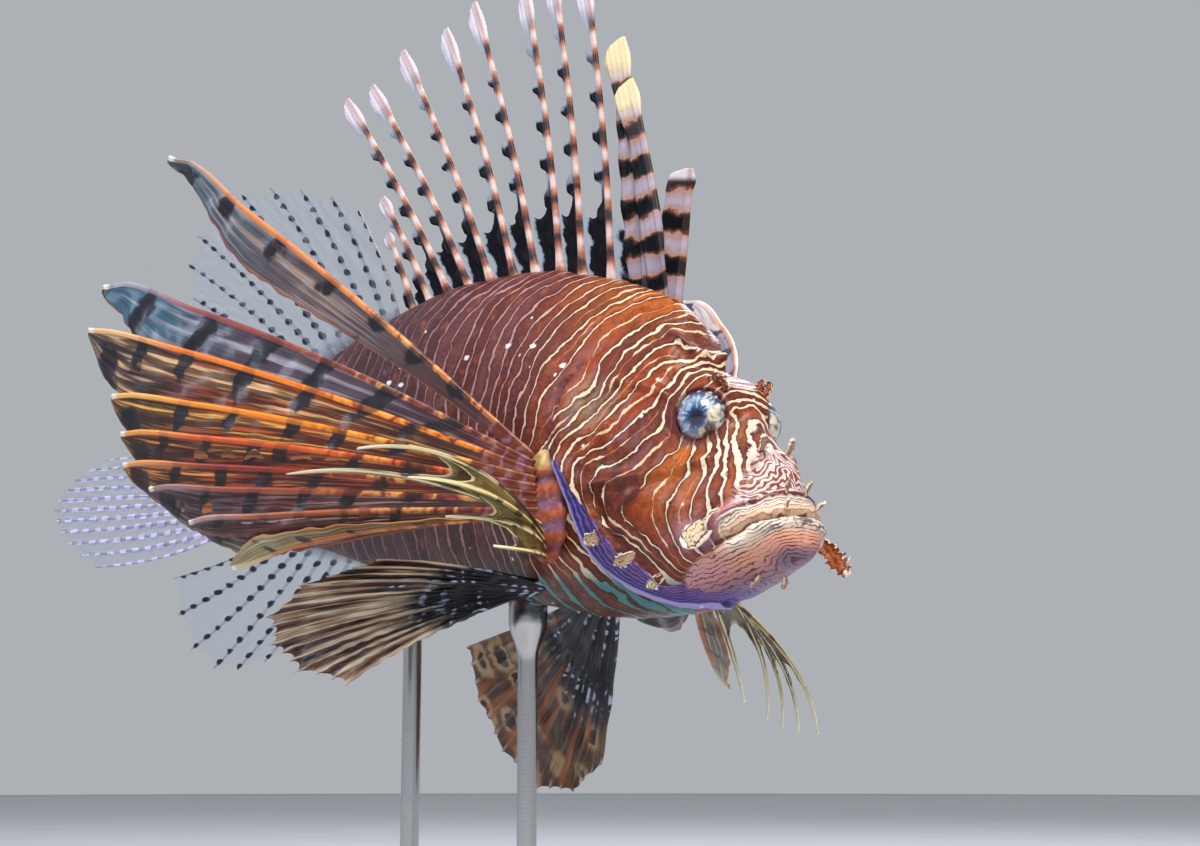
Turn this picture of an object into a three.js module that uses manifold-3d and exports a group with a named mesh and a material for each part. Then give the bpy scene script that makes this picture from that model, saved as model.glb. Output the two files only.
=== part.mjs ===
// A red lionfish about 300 mm long, held still on a display stand.
// Millimetres, +Z up, the head towards +X and the fish's left side towards +Y.
// The fish is shaped straight, then bent along its backbone, tipped nose down and lifted.
// Places on the straight fish are given as back, out and up: back from the front of the
// mouth, out from the middle plane (the left side positive) and up from the mouth.

import * as THREE from 'three';
import { mergeVertices } from 'three/addons/utils/BufferGeometryUtils.js';
import Module from 'manifold-3d';

const wasm = await Module();
wasm.setup();

// Pose on the stand
const MOUTH_HEIGHT = 130;
const NOSE_DOWN = 6;
const BEND_RADIUS = 577;
const STRAIGHT_AT = 126;
const BALANCE = 107;
const GAP = 0.35;

// Trunk, from the front of the mouth to the root of the tail fin
const TRUNK = 225;
const TAIL_FROM = 202;
const NOSE = -0.8;
const SIDES = 28;
const HEAD_RINGS = 13;
const TORSO_RINGS = 11;
const TAIL_RINGS = 3;
const CORE = [50, 0, 15];

// Outline of the trunk, as [back, size] pairs that a smooth curve joins
const BACK = [
  [NOSE, -5.2], [0, -2], [1.2, 1.1], [2.5, 3.7], [4.5, 6.6], [8, 10.6], [13, 16.2], [19, 23.4],
  [25, 28.8], [30.5, 31.2], [36.5, 38.2], [45.5, 49.6], [55, 55], [76, 60.3], [105, 64.6],
  [132, 63.2], [155, 57.6], [185, 45.2], [205, 29.5], [216, 19.5], [TRUNK, 13.5],
];
const BELLY = [
  [NOSE, -5.6], [0, -8], [1.2, -9.3], [8, -12], [16, -15.6], [25, -19], [35, -21.2], [63, -24],
  [95, -22], [130, -20], [160, -15.5], [185, -10.2], [202, -8.4], [213, -8.3], [TRUNK, -9.5],
];
const BREADTH = [
  [NOSE, 0.6], [0, 3.6], [1.2, 5.6], [3, 7.4], [5, 8.8], [7, 10.3], [10, 12], [14, 13.5],
  [22, 15.4], [31, 16.8], [50, 20.8], [63, 22.2], [85, 21.3], [125, 17.6], [165, 11.3],
  [185, 8], [202, 5.8], [TRUNK, 4],
];
const WIDEST = [[NOSE, -5.4], [3, -2.8], [8, -1.5], [15, -0.5], [31, 2], [50, 6], [70, 12],
  [105, 19], [145, 21], [185, 15], [202, 9], [TRUNK, 2]];
const BACK_TAPER = [[0, 1], [10, 1.25], [25, 1.45], [36, 1.4], [46, 1.3], [65, 1.14], [155, 1.2],
  [TRUNK, 1]];

// Edge of the gill cover: level on the side, from -1 at the belly to 1 at the back, and back
const GILL_EDGE = [[-1, 25], [-0.97, 31], [-0.84, 41], [-0.61, 52], [-0.32, 57.4], [-0.08, 62],
  [0.12, 67.3], [0.38, 66.3], [0.8, 54], [1, 46]];
const GILL_FLARE = 1.1;

// Mouth line, and where the lower jaw ends under the cheek
const MOUTH_LINE = [[-4, 1.3], [1.2, 1.1], [2.5, 0.2], [6, -1.2], [8, -3.2], [13, -5.6], [20, -9],
  [28, -14], [31, -17]];
const MOUTH_CORNER = 13;
const JAW_END = 33;
const JAW_DEPTH = -30;
const JAW_HALF_BREADTH = 40;
const LIP = 1.3;

// Eyes
const EYE_RADIUS = 6.3;
const EYE = [28.8, 7.3, 22.8];
const EYE_FORWARD = 32;
const ORBIT_RIM = 1.1;
const ORBIT_PROUD = 1.7;
const BROW = [26.5, 5.8, 28];
const BROW_REACH = [6.5, 1.7, 2.2];

// Nostrils: a low bump with a small flap standing on it
const NOSTRIL = [13.4, 5, 13.4];
const NOSTRIL_REACH = [1.7, 1.5, 1.6];
const NOSTRIL_FLAP_ROOT = [13, 3.8, 14.2];
const NOSTRIL_FLAP_TIP = [10.4, 4.2, 18.4];

// Fins
const WEB = 0.6;
const RAY = 1.3;
const SPINE = 1.9;

function curveThrough(pairs) {
  // A smooth curve through [place, size] pairs that never runs past them.
  const place = pairs.map((pair) => pair[0]);
  const size = pairs.map((pair) => pair[1]);
  const last = pairs.length - 1;
  const step = [];
  const rise = [];
  for (let i = 0; i < last; i += 1) {
    step.push(place[i + 1] - place[i]);
    rise.push((size[i + 1] - size[i]) / step[i]);
  }
  const slope = [rise[0]];
  for (let i = 1; i < last; i += 1) {
    const before = 2 * step[i] + step[i - 1];
    const after = step[i] + 2 * step[i - 1];
    const turns = rise[i - 1] * rise[i] <= 0;
    slope.push(turns ? 0 : (before + after) / (before / rise[i - 1] + after / rise[i]));
  }
  slope.push(rise[last - 1]);
  return (at) => {
    const x = THREE.MathUtils.clamp(at, place[0], place[last]);
    let i = 0;
    while (i < last - 1 && x > place[i + 1]) {
      i += 1;
    }
    const t = (x - place[i]) / step[i];
    const rest = 1 - t;
    return size[i] * rest * rest * (1 + 2 * t) + size[i + 1] * t * t * (3 - 2 * t)
      + step[i] * t * rest * (slope[i] * rest - slope[i + 1] * t);
  };
}

const backLine = curveThrough(BACK);
const bellyLine = curveThrough(BELLY);
const breadth = curveThrough(BREADTH);
const widest = curveThrough(WIDEST);
const backTaper = curveThrough(BACK_TAPER);
const gillEdge = curveThrough(GILL_EDGE);
const mouthLine = curveThrough(MOUTH_LINE);

const at = (back, out, up) => new THREE.Vector3(-back, out, up);
const sidedAt = ([back, out, up], side) => at(back, side * out, up);
const smooth = THREE.MathUtils.smoothstep;

function closedMesh(points, faces) {
  // A closed mesh as a solid, turned if its faces point inwards.
  let volume = 0;
  for (const [a, b, c] of faces) {
    volume += points[a].dot(new THREE.Vector3().crossVectors(points[b], points[c]));
  }
  const outward = volume > 0 ? faces : faces.map(([a, b, c]) => [a, c, b]);
  const vertProperties = new Float32Array(points.flatMap((p) => [p.x, p.y, p.z]));
  const triVerts = new Uint32Array(outward.flat());
  return new wasm.Manifold(new wasm.Mesh({ numProp: 3, vertProperties, triVerts }));
}

function solidOf(geometry) {
  // A three.js geometry as a solid, with its shared corners merged.
  const bare = geometry.clone();
  bare.deleteAttribute('normal');
  bare.deleteAttribute('uv');
  const merged = mergeVertices(bare, 1e-4);
  const place = merged.getAttribute('position');
  const points = [];
  for (let i = 0; i < place.count; i += 1) {
    points.push(new THREE.Vector3().fromBufferAttribute(place, i));
  }
  const faces = [];
  const index = merged.getIndex().array;
  for (let i = 0; i < index.length; i += 3) {
    const face = [index[i], index[i + 1], index[i + 2]];
    if (new Set(face).size === 3) {
      faces.push(face);
    }
  }
  return closedMesh(points, faces);
}

function fuse(solids) {
  return solids.reduce((whole, piece) => whole.add(piece));
}

function largest(solid) {
  // Only the largest closed surface of a solid.
  const parts = solid.decompose();
  return parts.reduce((best, part) => (part.volume() > best.volume() ? part : best));
}

function geometryOf(solid) {
  const mesh = solid.getMesh();
  const geometry = new THREE.BufferGeometry();
  const place = Float32Array.from(mesh.vertProperties);
  geometry.setAttribute('position', new THREE.BufferAttribute(place, 3));
  geometry.setIndex(Array.from(mesh.triVerts));
  return geometry;
}

function loft(rings) {
  // A solid skin over a row of closed rings, with a single point as a first or last ring.
  const points = rings.flat();
  const start = [];
  let count = 0;
  for (const ring of rings) {
    start.push(count);
    count += ring.length;
  }
  const faces = [];
  for (let j = 0; j < rings.length - 1; j += 1) {
    const near = rings[j].length;
    const far = rings[j + 1].length;
    const around = Math.max(near, far);
    for (let i = 0; i < around; i += 1) {
      const next = (i + 1) % around;
      if (near > 1) {
        faces.push([start[j] + i, start[j] + next, start[j + 1] + (far > 1 ? i : 0)]);
      }
      if (far > 1) {
        faces.push([start[j] + (near > 1 ? next : 0), start[j + 1] + next, start[j + 1] + i]);
      }
    }
  }
  return closedMesh(points, faces);
}

function sheet(front, rear) {
  // A thin solid between two grids of points, split alike on both faces.
  const rows = front.length;
  const columns = front[0].length;
  const points = [...front.flat(), ...rear.flat()];
  const under = rows * columns;
  const faces = [];
  for (let i = 0; i < rows - 1; i += 1) {
    for (let j = 0; j < columns - 1; j += 1) {
      const a = i * columns + j;
      const b = a + columns;
      faces.push([a, b, b + 1], [a, b + 1, a + 1]);
      faces.push([under + a, under + b + 1, under + b], [under + a, under + a + 1, under + b + 1]);
    }
  }
  const rim = [];
  for (let j = 0; j < columns; j += 1) {
    rim.push(j);
  }
  for (let i = 1; i < rows; i += 1) {
    rim.push(i * columns + columns - 1);
  }
  for (let j = columns - 2; j >= 0; j -= 1) {
    rim.push((rows - 1) * columns + j);
  }
  for (let i = rows - 2; i > 0; i -= 1) {
    rim.push(i * columns);
  }
  rim.forEach((a, i) => {
    const b = rim[(i + 1) % rim.length];
    faces.push([a, b, under + b], [a, under + b, under + a]);
  });
  return closedMesh(points, faces);
}

function trunkRing(backOf, grow) {
  // One ring of the trunk; backOf gives how far back each level of the side lies.
  const ring = [];
  for (let i = 0; i < SIDES; i += 1) {
    const angle = (2 * Math.PI * i) / SIDES;
    const level = -Math.cos(angle);
    const { back, flare } = backOf(level);
    ring.push(trunkPoint(back, angle, grow + flare));
  }
  return ring;
}

function trunkPoint(back, angle, grow) {
  // A point of the trunk's skin; the angle runs from the belly up the left side.
  const level = -Math.cos(angle);
  const taper = level > 0 ? backTaper(back) : 1;
  const half = breadth(back) + grow;
  const out = half * Math.sign(Math.sin(angle)) * Math.abs(Math.sin(angle)) ** taper;
  const middle = widest(back);
  const reach = level > 0 ? backLine(back) + grow - middle : middle - bellyLine(back) + grow;
  return at(back, out, middle + Math.sign(level) * reach * Math.abs(level) ** taper);
}

function breadthAt(back, up) {
  // Half the breadth of the trunk at a height.
  const middle = widest(back);
  const above = up > middle;
  const reach = above ? backLine(back) - middle : middle - bellyLine(back);
  const taper = above ? backTaper(back) : 1;
  const level = THREE.MathUtils.clamp(Math.abs(up - middle) / reach, 0, 1) ** (1 / taper);
  return breadth(back) * Math.sqrt(1 - level * level) ** taper;
}

function onSkin(back, side, up, proud) {
  return at(back, side * (breadthAt(back, up) + proud), up);
}

function headShell(grow) {
  const rings = [[at(NOSE - 0.3 - grow, 0, widest(NOSE))]];
  for (let j = 0; j <= HEAD_RINGS; j += 1) {
    const share = (j / HEAD_RINGS) ** 1.25;
    rings.push(trunkRing((level) => {
      const open = 1 - smooth(level, 0.4, 0.75);
      const back = NOSE + share * (gillEdge(level) - NOSE);
      return { back, flare: GILL_FLARE * open * smooth(share, 0.8, 1) };
    }, grow));
  }
  rings.push(trunkRing((level) => ({ back: gillEdge(level), flare: 0 }), grow - 0.2));
  rings.push([at(...CORE)]);
  return loft(rings);
}

function torsoShell() {
  const rings = [[at(CORE[0] + 1.2 * GAP, CORE[1], CORE[2])]];
  for (let j = 0; j <= TORSO_RINGS; j += 1) {
    const share = j / TORSO_RINGS;
    rings.push(trunkRing((level) => {
      const from = gillEdge(level) + 1.2 * GAP;
      return { back: from + (TAIL_FROM - from) * share, flare: 0 };
    }, 0));
  }
  rings.push([at(TAIL_FROM, 0, widest(TAIL_FROM))]);
  return loft(rings);
}

function trunkLength(from, to, count, grow) {
  // A length of trunk between two flat ends.
  const rings = [[at(from, 0, widest(from))]];
  for (let j = 0; j <= count; j += 1) {
    rings.push(trunkRing(() => ({ back: from + ((to - from) * j) / count, flare: 0 }), grow));
  }
  rings.push([at(to, 0, widest(to))]);
  return loft(rings);
}

function extrudedSide(outline, halfDepth) {
  // A block with a side outline of [back, up] corners, as deep on both sides.
  const shape = new THREE.Shape(outline.map(([back, up]) => new THREE.Vector2(-back, up)));
  const block = new THREE.ExtrudeGeometry(shape, { depth: 2 * halfDepth, bevelEnabled: false });
  block.rotateX(Math.PI / 2);
  block.translate(0, halfDepth, 0);
  return solidOf(block);
}

function rod(path, radius, sides, steps) {
  // A round bar along a path of points.
  const section = new THREE.Shape();
  section.absarc(0, 0, radius, 0, 2 * Math.PI);
  const bar = new THREE.ExtrudeGeometry(section, {
    extrudePath: new THREE.CatmullRomCurve3(path),
    steps,
    curveSegments: sides,
    bevelEnabled: false,
  });
  return solidOf(bar);
}

function ball(centre, reach, around, rows) {
  const shape = new THREE.SphereGeometry(1, around, rows);
  shape.scale(...reach);
  shape.translate(centre.x, centre.y, centre.z);
  return solidOf(shape);
}

function blade({ line, towards, lead, trail, crest, steps, edge = 0.28 }) {
  // A ray or spine with a thin web behind it. The line is its bony core, towards points to
  // the web's side, lead and trail are how far it reaches each way, and crest and edge are
  // half its thickness on the core and at its two edges.
  const front = [];
  const rear = [];
  for (let i = 0; i <= steps; i += 1) {
    const t = i / steps;
    const core = line.getPoint(t);
    const along = line.getTangent(t);
    const across = towards(t).clone();
    across.addScaledVector(along, -across.dot(along)).normalize();
    const face = new THREE.Vector3().crossVectors(along, across);
    const near = core.clone().addScaledVector(across, -lead(t));
    const far = core.clone().addScaledVector(across, trail(t));
    const row = [[near, edge], [core, crest(t)], [far, edge]];
    front.push(row.map(([point, half]) => point.clone().addScaledVector(face, half)));
    rear.push(row.map(([point, half]) => point.clone().addScaledVector(face, -half)));
  }
  return sheet(front, rear);
}

function rayedWeb({ rays, steps, crest, web, notch }) {
  // A fin of rays joined by a web: rays are curves, raised as ridges, and the web between
  // two of them ends a little short of their tips.
  const columns = [];
  rays.forEach((ray, i) => {
    columns.push({ point: (t) => ray.getPoint(t), half: (t) => (crest * (1 - 0.45 * t)) / 2 });
    if (i < rays.length - 1) {
      const next = rays[i + 1];
      columns.push({
        point: (t) => ray.getPoint(t * notch).lerp(next.getPoint(t * notch), 0.5),
        half: () => web / 2,
      });
    }
  });
  const grid = [];
  for (let i = 0; i <= steps; i += 1) {
    grid.push(columns.map((column) => column.point(i / steps)));
  }
  const front = [];
  const rear = [];
  for (let i = 0; i <= steps; i += 1) {
    const above = grid[Math.min(i + 1, steps)];
    const below = grid[Math.max(i - 1, 0)];
    front.push([]);
    rear.push([]);
    columns.forEach((column, j) => {
      const along = above[j].clone().sub(below[j]);
      const left = grid[i][Math.max(j - 1, 0)];
      const right = grid[i][Math.min(j + 1, columns.length - 1)];
      const face = new THREE.Vector3().crossVectors(along, right.clone().sub(left)).normalize();
      const half = column.half(i / steps);
      front[i].push(grid[i][j].clone().addScaledVector(face, half));
      rear[i].push(grid[i][j].clone().addScaledVector(face, -half));
    });
  }
  return sheet(front, rear);
}

function bowed(root, tip, bow) {
  // A curve from root to tip that bulges by bow at its middle.
  const middle = root.clone().lerp(tip, 0.5).addScaledVector(bow, 2);
  return new THREE.QuadraticBezierCurve3(root, middle, tip);
}

// Trunk grown by the gap, which cuts every fin and flap clear of the skin
const trunkClear = fuse([headShell(GAP), trunkLength(20, TRUNK, 22, GAP)]);

// Head

function sideRidge(places, side, radius) {
  const path = places.map(([back, up]) => onSkin(back, side, up, -0.1));
  return rod(path, radius, 4, 2 * places.length);
}

function orbitRim(side, grow = 0) {
  const rim = new THREE.TorusGeometry(EYE_RADIUS + 0.5, ORBIT_RIM + grow, 5, 16);
  rim.rotateX(-Math.PI / 2);
  rim.translate(0, side * ORBIT_PROUD, 0);
  rim.rotateZ(-side * THREE.MathUtils.degToRad(EYE_FORWARD));
  const centre = sidedAt(EYE, side);
  rim.translate(centre.x, centre.y, centre.z);
  return solidOf(rim);
}

function browRidge(side, grow = 0) {
  return ball(sidedAt(BROW, side), BROW_REACH.map((reach) => reach + grow), 8, 5);
}

function eyeball(side, grow = 0) {
  const reach = EYE_RADIUS + grow;
  return ball(sidedAt(EYE, side), [reach, reach, reach], 16, 11);
}

function leaf(root, tip, side, half, steps) {
  // A small skin flap: an oval leaf on a short stalk.
  const shape = curveThrough([[0, 0.35], [0.3, 0.7], [0.65, 1], [0.9, 0.7], [1, 0.3]]);
  return blade({
    line: new THREE.LineCurve3(root, tip),
    towards: () => side,
    lead: (t) => half * shape(t),
    trail: (t) => half * shape(t),
    crest: () => 0.5,
    steps,
  });
}

const CHEEK_RIDGE = [[22, 12], [31, 9.5], [41, 8], [52, 6]];
const GILL_RIDGE = [[51, 20], [54, 10], [51, -1], [44, -9], [34, -15.5]];
const CHEEK_FLAPS = [[48, -4.2, 2.6], [40, -9, 2.8], [33, -13.4, 2.4]];

function lipBead(grow = 0) {
  // A bead round the mouth, half on each lip.
  const path = [];
  for (const back of [MOUTH_CORNER + 2, 10, 7, 4.5, 2.6]) {
    path.push(onSkin(back, -1, mouthLine(back), -0.4));
  }
  path.push(at(1.4, 0, 1));
  const right = path.slice(0, -1).reverse();
  right.forEach((point) => path.push(new THREE.Vector3(point.x, -point.y, point.z)));
  return rod(path, LIP + grow, 5, 18);
}

function headSolids() {
  const pieces = [headShell(0), lipBead()];
  for (const side of [-1, 1]) {
    pieces.push(orbitRim(side));
    pieces.push(sideRidge(CHEEK_RIDGE, side, 1.3));
    pieces.push(sideRidge(GILL_RIDGE, side, 1.2));
    pieces.push(browRidge(side));
    pieces.push(ball(sidedAt(NOSTRIL, side), NOSTRIL_REACH, 6, 5));
    const flapRoot = sidedAt(NOSTRIL_FLAP_ROOT, side);
    pieces.push(leaf(flapRoot, sidedAt(NOSTRIL_FLAP_TIP, side), at(0, 1, 0), 0.9, 2));
    for (const [back, up, half] of CHEEK_FLAPS) {
      const root = onSkin(back, side, up, -1.2);
      const tip = onSkin(back + 4.6, side, up - 3.2, 2.6);
      pieces.push(leaf(root, tip, at(-0.5, 0, -1), half, 2));
    }
  }
  const whole = fuse(pieces);
  const jawBlock = (gap) => extrudedSide([
    ...MOUTH_LINE.map(([back, up]) => [back, up + gap]),
    [JAW_END + gap, JAW_DEPTH + 9], [JAW_END + gap, JAW_DEPTH], [MOUTH_LINE[0][0], JAW_DEPTH],
  ], JAW_HALF_BREADTH);
  const head = whole.subtract(eyeball(-1, GAP)).subtract(eyeball(1, GAP));
  return {
    head: largest(head.subtract(jawBlock(GAP))),
    jaw: largest(whole.intersect(jawBlock(0))),
  };
}

// Dorsal spines: back at the foot, length, lean backwards in degrees, breadth of the flag
const SPINES = [
  [50.7, 32, -2, 4.2], [53.6, 61, 20, 6], [62.6, 68, 14, 6.4], [76.4, 85, 13, 4.2],
  [87.8, 87, 14, 4], [96.4, 84, 16, 4], [106, 86, 23, 3.8], [114.5, 82, 26, 3.8],
  [123.5, 83, 32, 3.8], [132, 78, 37, 3.6], [140, 78, 39, 3.6], [147.5, 39, 36, 3],
  [154, 26, 30, 2.6],
];

function spineLine([foot, length, lean], share = 1) {
  const tilt = THREE.MathUtils.degToRad(lean);
  const root = at(foot - 1.5 * Math.sin(tilt), 0, backLine(foot) - 3);
  const reach = (length + 3) * share;
  const tip = root.clone().add(at(reach * Math.sin(tilt), 0, reach * Math.cos(tilt)));
  return bowed(root, tip, at(-0.02 * reach, 0, 0));
}

function spinyDorsal() {
  const flag = curveThrough([[0, 0.5], [0.2, 0.6], [0.35, 0.7], [0.7, 0.65], [0.9, 1], [1, 0.2]]);
  const pieces = SPINES.map((spine) => blade({
    line: spineLine(spine),
    towards: () => at(1, 0, 0),
    lead: (t) => 0.9 - 0.5 * t,
    trail: (t) => spine[3] * flag(t),
    crest: (t) => (SPINE * (1 - 0.6 * t)) / 2,
    steps: 6,
  }));
  pieces.push(rayedWeb({
    rays: SPINES.map((spine) => spineLine(spine, 0.34)),
    steps: 2,
    crest: WEB,
    web: WEB,
    notch: 0.72,
  }));
  return fuse(pieces);
}

// Soft fins: one row for each ray, its root back, then back and up of its tip
const SOFT_DORSAL = [
  [159, 181, 88], [164, 193, 93], [169, 206, 96], [174, 219, 97.5], [179, 231, 96],
  [183, 241, 92], [187, 248, 84], [190.5, 251, 75], [194, 247, 64], [198, 238, 52],
];
const ANAL = [
  [161, 172, -29], [165, 182, -35], [170, 192, -40], [175, 203, -44.5], [180, 214, -47.5],
  [185, 224, -48], [189, 234, -43], [193, 241, -33], [198, 244, -22],
];
const TAIL_RAYS = 11;

function medianFin(rows, line, sink, bow) {
  const rays = rows.map(([root, back, up]) => (
    bowed(at(root, 0, line(root) - sink), at(back, 0, up), at(-1, 0, bow))
  ));
  return rayedWeb({ rays, steps: 6, crest: RAY, web: WEB, notch: 0.95 });
}

function caudalFin() {
  const rays = [];
  for (let i = 0; i < TAIL_RAYS; i += 1) {
    const level = 1 - (2 * i) / (TAIL_RAYS - 1);
    const root = at(TRUNK - 3, 0, 2.4 + 9.4 * level);
    const tip = at(297 - 20 * level * level, 0, 17 * level - 3.6);
    rays.push(bowed(root, tip, at(0, 0, 2.4 * level)));
  }
  return rayedWeb({ rays, steps: 6, crest: RAY, web: WEB, notch: 0.975 });
}

// Pectoral rays from the top one down: the tip's back, out and up, the bulge of the ray's
// middle in the same order, the breadth of its blade and how far along that lies
const PECTORAL_RIGHT = [
  [[188, 64, 89], [0, 8, 6], 10, 0.62], [[207, 68, 54], [0, 10, 6], 13, 0.8],
  [[209, 70, 42], [0, 12, 4], 12, 0.85], [[195, 70, 24], [0, 12, 3], 12, 0.85],
  [[189, 70, 14], [0, 12, 2], 11, 0.85], [[188, 69, 6], [0, 12, 1], 11, 0.8],
  [[176, 68, 0], [0, 11, 0], 11, 0.75], [[159, 66, -8], [0, 10, 0], 9, 0.75],
  [[143, 62, -19], [0, 8, 2], 7.5, 0.8], [[113, 68, 4], [-17, 12, 4], 7, 0.5],
  [[85, 66, 10], [-14, 7, 6], 4.5, 0.5], [[71, 60, 4], [-10, 3, 3], 4, 0.5],
  [[69, 50, -4], [-7, 0, 2], 4.4, 0.5], [[57, 44, -10], [-4, 0, 0], 4, 0.5],
];
const PECTORAL_LEFT = [
  [[145, 103, 77], [-4, 13, 8], 17, 0.8], [[164, 94, 60], [-4, 15, 5], 13, 0.8],
  [[171, 90, 45], [-2, 14, 4], 12, 0.82], [[172, 88, 31], [0, 13, 3], 12, 0.82],
  [[168, 86, 17], [0, 12, 2], 11, 0.82], [[161, 84, 5], [0, 11, 1], 11, 0.82],
  [[150, 80, -5], [0, 10, 0], 10, 0.8], [[132, 76, -23], [0, 8, -1], 9, 0.75],
  [[105, 84, -41], [6, 2, -3], 7.5, 0.6], [[99, 84, -45], [1, 3, -1], 6, 0.6],
  [[92, 85, -49], [-5, 2, 2], 4.4, 0.6], [[86, 84, -51], [-6, 2, 2], 4.4, 0.6],
  [[79, 82, -51.5], [-7, 1, 2], 4.4, 0.6], [[71, 80, -51], [-8, 0, 2], 4.4, 0.6],
];
const FREE_FROM = 9;
const PECTORAL_TOP = [71, 24.5, 13];
const PECTORAL_FOOT = [65, 23.5, -11];
const PECTORAL_PAD = [5.5, 4.6, 14.5];
const PECTORAL_PAD_LEAN = -13;
const PECTORAL_PAD_SINK = 1.6;

function pectoralFin(rows, side) {
  const top = at(...PECTORAL_TOP);
  const foot = at(...PECTORAL_FOOT);
  const sided = (point) => new THREE.Vector3(point.x, side * point.y, point.z);
  const lines = rows.map(([tip, bow], i) => {
    const root = top.clone().lerp(foot, i / (rows.length - 1));
    return bowed(sided(root), sided(at(...tip)), sided(at(...bow)));
  });
  const spread = (t, peak) => (
    t < peak ? 0.1 + 0.9 * smooth(t, 0, peak) : 1 - 0.9 * ((t - peak) / (1 - peak)) ** 1.5
  );
  const pieces = rows.map(([, , width, peak], i) => {
    const beside = lines[i < FREE_FROM ? i + 1 : i - 1];
    return blade({
      line: lines[i],
      towards: (t) => beside.getPoint(t).sub(lines[i].getPoint(t)),
      lead: (t) => 0.9 - 0.4 * t,
      trail: (t) => 0.7 + (width - 0.7) * spread(t, peak),
      crest: (t) => (SPINE * (1 - 0.5 * t)) / 2,
      steps: i < FREE_FROM ? 7 : 5,
    });
  });
  const pad = new THREE.SphereGeometry(1, 12, 8);
  pad.scale(...PECTORAL_PAD);
  pad.rotateY(THREE.MathUtils.degToRad(PECTORAL_PAD_LEAN));
  const middle = sided(top.clone().lerp(foot, 0.5));
  pad.translate(middle.x, middle.y - side * PECTORAL_PAD_SINK, middle.z);
  pieces.push(solidOf(pad));
  return fuse(pieces);
}

// Pelvic fins: root back and out, then the tips of the spine and the five rays
const PELVIC_RIGHT = [
  [124, 31, -14], [144, 41, -22], [155, 43, -31], [152, 43, -38], [140, 42, -44], [124, 38, -46],
];
const PELVIC_LEFT = [
  [91, 22, -62], [105, 26, -70.5], [120, 28, -71.5], [134, 28, -63], [143, 26, -50], [145, 22, -35],
];

function pelvicFin(tips, side, foot, bow) {
  const rays = tips.map(([back, out, up], i) => {
    const root = at(75 + 1.6 * i, side * (9 - 0.5 * i), foot);
    return bowed(root, at(back, side * out, up), at(bow[0], side * bow[1], bow[2]));
  });
  return rayedWeb({ rays, steps: 6, crest: 1.5, web: WEB, notch: 0.93 });
}

// Skin flaps of the face
const BROW_FLAP_ROOT = [26, 5.6, 28.5];
const BROW_FLAP_TIP = [25.6, 7.2, 33];
const BROW_FLAP_SHIFTS = [-1.6, 0, 1.7];
const SNOUT_FLAP_HALF = 2.9;

function browTentacle(side) {
  const pieces = BROW_FLAP_SHIFTS.map((shift) => leaf(
    sidedAt(BROW_FLAP_ROOT, side).add(at(-shift, 0, 0)),
    sidedAt(BROW_FLAP_TIP, side).add(at(-1.7 * shift, 0, -0.5 * Math.abs(shift))),
    at(1, 0, 0),
    1.2,
    2,
  ));
  const face = fuse([orbitRim(side, GAP), browRidge(side, GAP), eyeball(side, GAP)]);
  return fuse(pieces).subtract(face);
}

function snoutFlap(side) {
  const root = onSkin(12.5, side, -1.4, -1);
  const tip = side < 0 ? onSkin(20.5, side, -7.2, 2.4) : at(-0.5, 13.5, -11);
  return leaf(root, tip, at(-1, 0, 1), SNOUT_FLAP_HALF, 4).subtract(lipBead(GAP));
}

// Display stand
const BASE_LENGTH = 190;
const BASE_WIDTH = 110;
const BASE_THICK = 12;
const BASE_CORNER = 22;
const BASE_BEVEL = 1.5;
const ROD_RADIUS = 2.5;
const ROD_FOOT = 8;
const ROD_CUP = 5;
const ROD_PLACES = [99, 145];

function standBase() {
  const x = BASE_LENGTH / 2 - BASE_BEVEL;
  const y = BASE_WIDTH / 2 - BASE_BEVEL;
  const r = BASE_CORNER;
  const outline = new THREE.Shape();
  outline.moveTo(-x + r, -y);
  outline.lineTo(x - r, -y);
  outline.absarc(x - r, -y + r, r, -Math.PI / 2, 0);
  outline.absarc(x - r, y - r, r, 0, Math.PI / 2);
  outline.absarc(-x + r, y - r, r, Math.PI / 2, Math.PI);
  outline.absarc(-x + r, -y + r, r, Math.PI, 1.5 * Math.PI);
  const slab = new THREE.ExtrudeGeometry(outline, {
    depth: BASE_THICK - 2 * BASE_BEVEL,
    bevelThickness: BASE_BEVEL,
    bevelSize: BASE_BEVEL,
    bevelSegments: 1,
    curveSegments: 6,
  });
  slab.translate(0, 0, BASE_BEVEL);
  return solidOf(slab);
}

function standRod(place, height) {
  // A turned rod: a wide foot, a straight shank and a cup that the belly cuts to its own shape.
  const profile = [
    [0, 0], [ROD_FOOT, 0], [ROD_FOOT, 2.5], [ROD_FOOT - 1, 3.5], [ROD_RADIUS + 1, 4.5],
    [ROD_RADIUS, 7], [ROD_RADIUS, height - 12], [ROD_CUP, height - 5], [ROD_CUP, height], [0, height],
  ];
  const turned = new THREE.LatheGeometry(profile.map(([r, h]) => new THREE.Vector2(r, h)), 16);
  turned.rotateX(Math.PI / 2);
  turned.translate(place.x, place.y, BASE_THICK + GAP);
  return solidOf(turned);
}

// Bending

function backbone(back) {
  const heading = (back - STRAIGHT_AT) / BEND_RADIUS;
  return {
    x: -BEND_RADIUS * Math.sin(heading),
    y: BEND_RADIUS * Math.cos(heading),
    sin: Math.sin(heading),
    cos: Math.cos(heading),
  };
}

const anchor = backbone(BALANCE);

function bend(geometry) {
  // Bends a straight shape sideways along the backbone's arc, the balance point at the origin.
  const place = geometry.getAttribute('position');
  for (let i = 0; i < place.count; i += 1) {
    const { x, y, sin, cos } = backbone(-place.getX(i));
    const out = place.getY(i);
    place.setXY(i, x - anchor.x - out * sin, y - anchor.y + out * cos);
  }
  return geometry;
}

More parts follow.
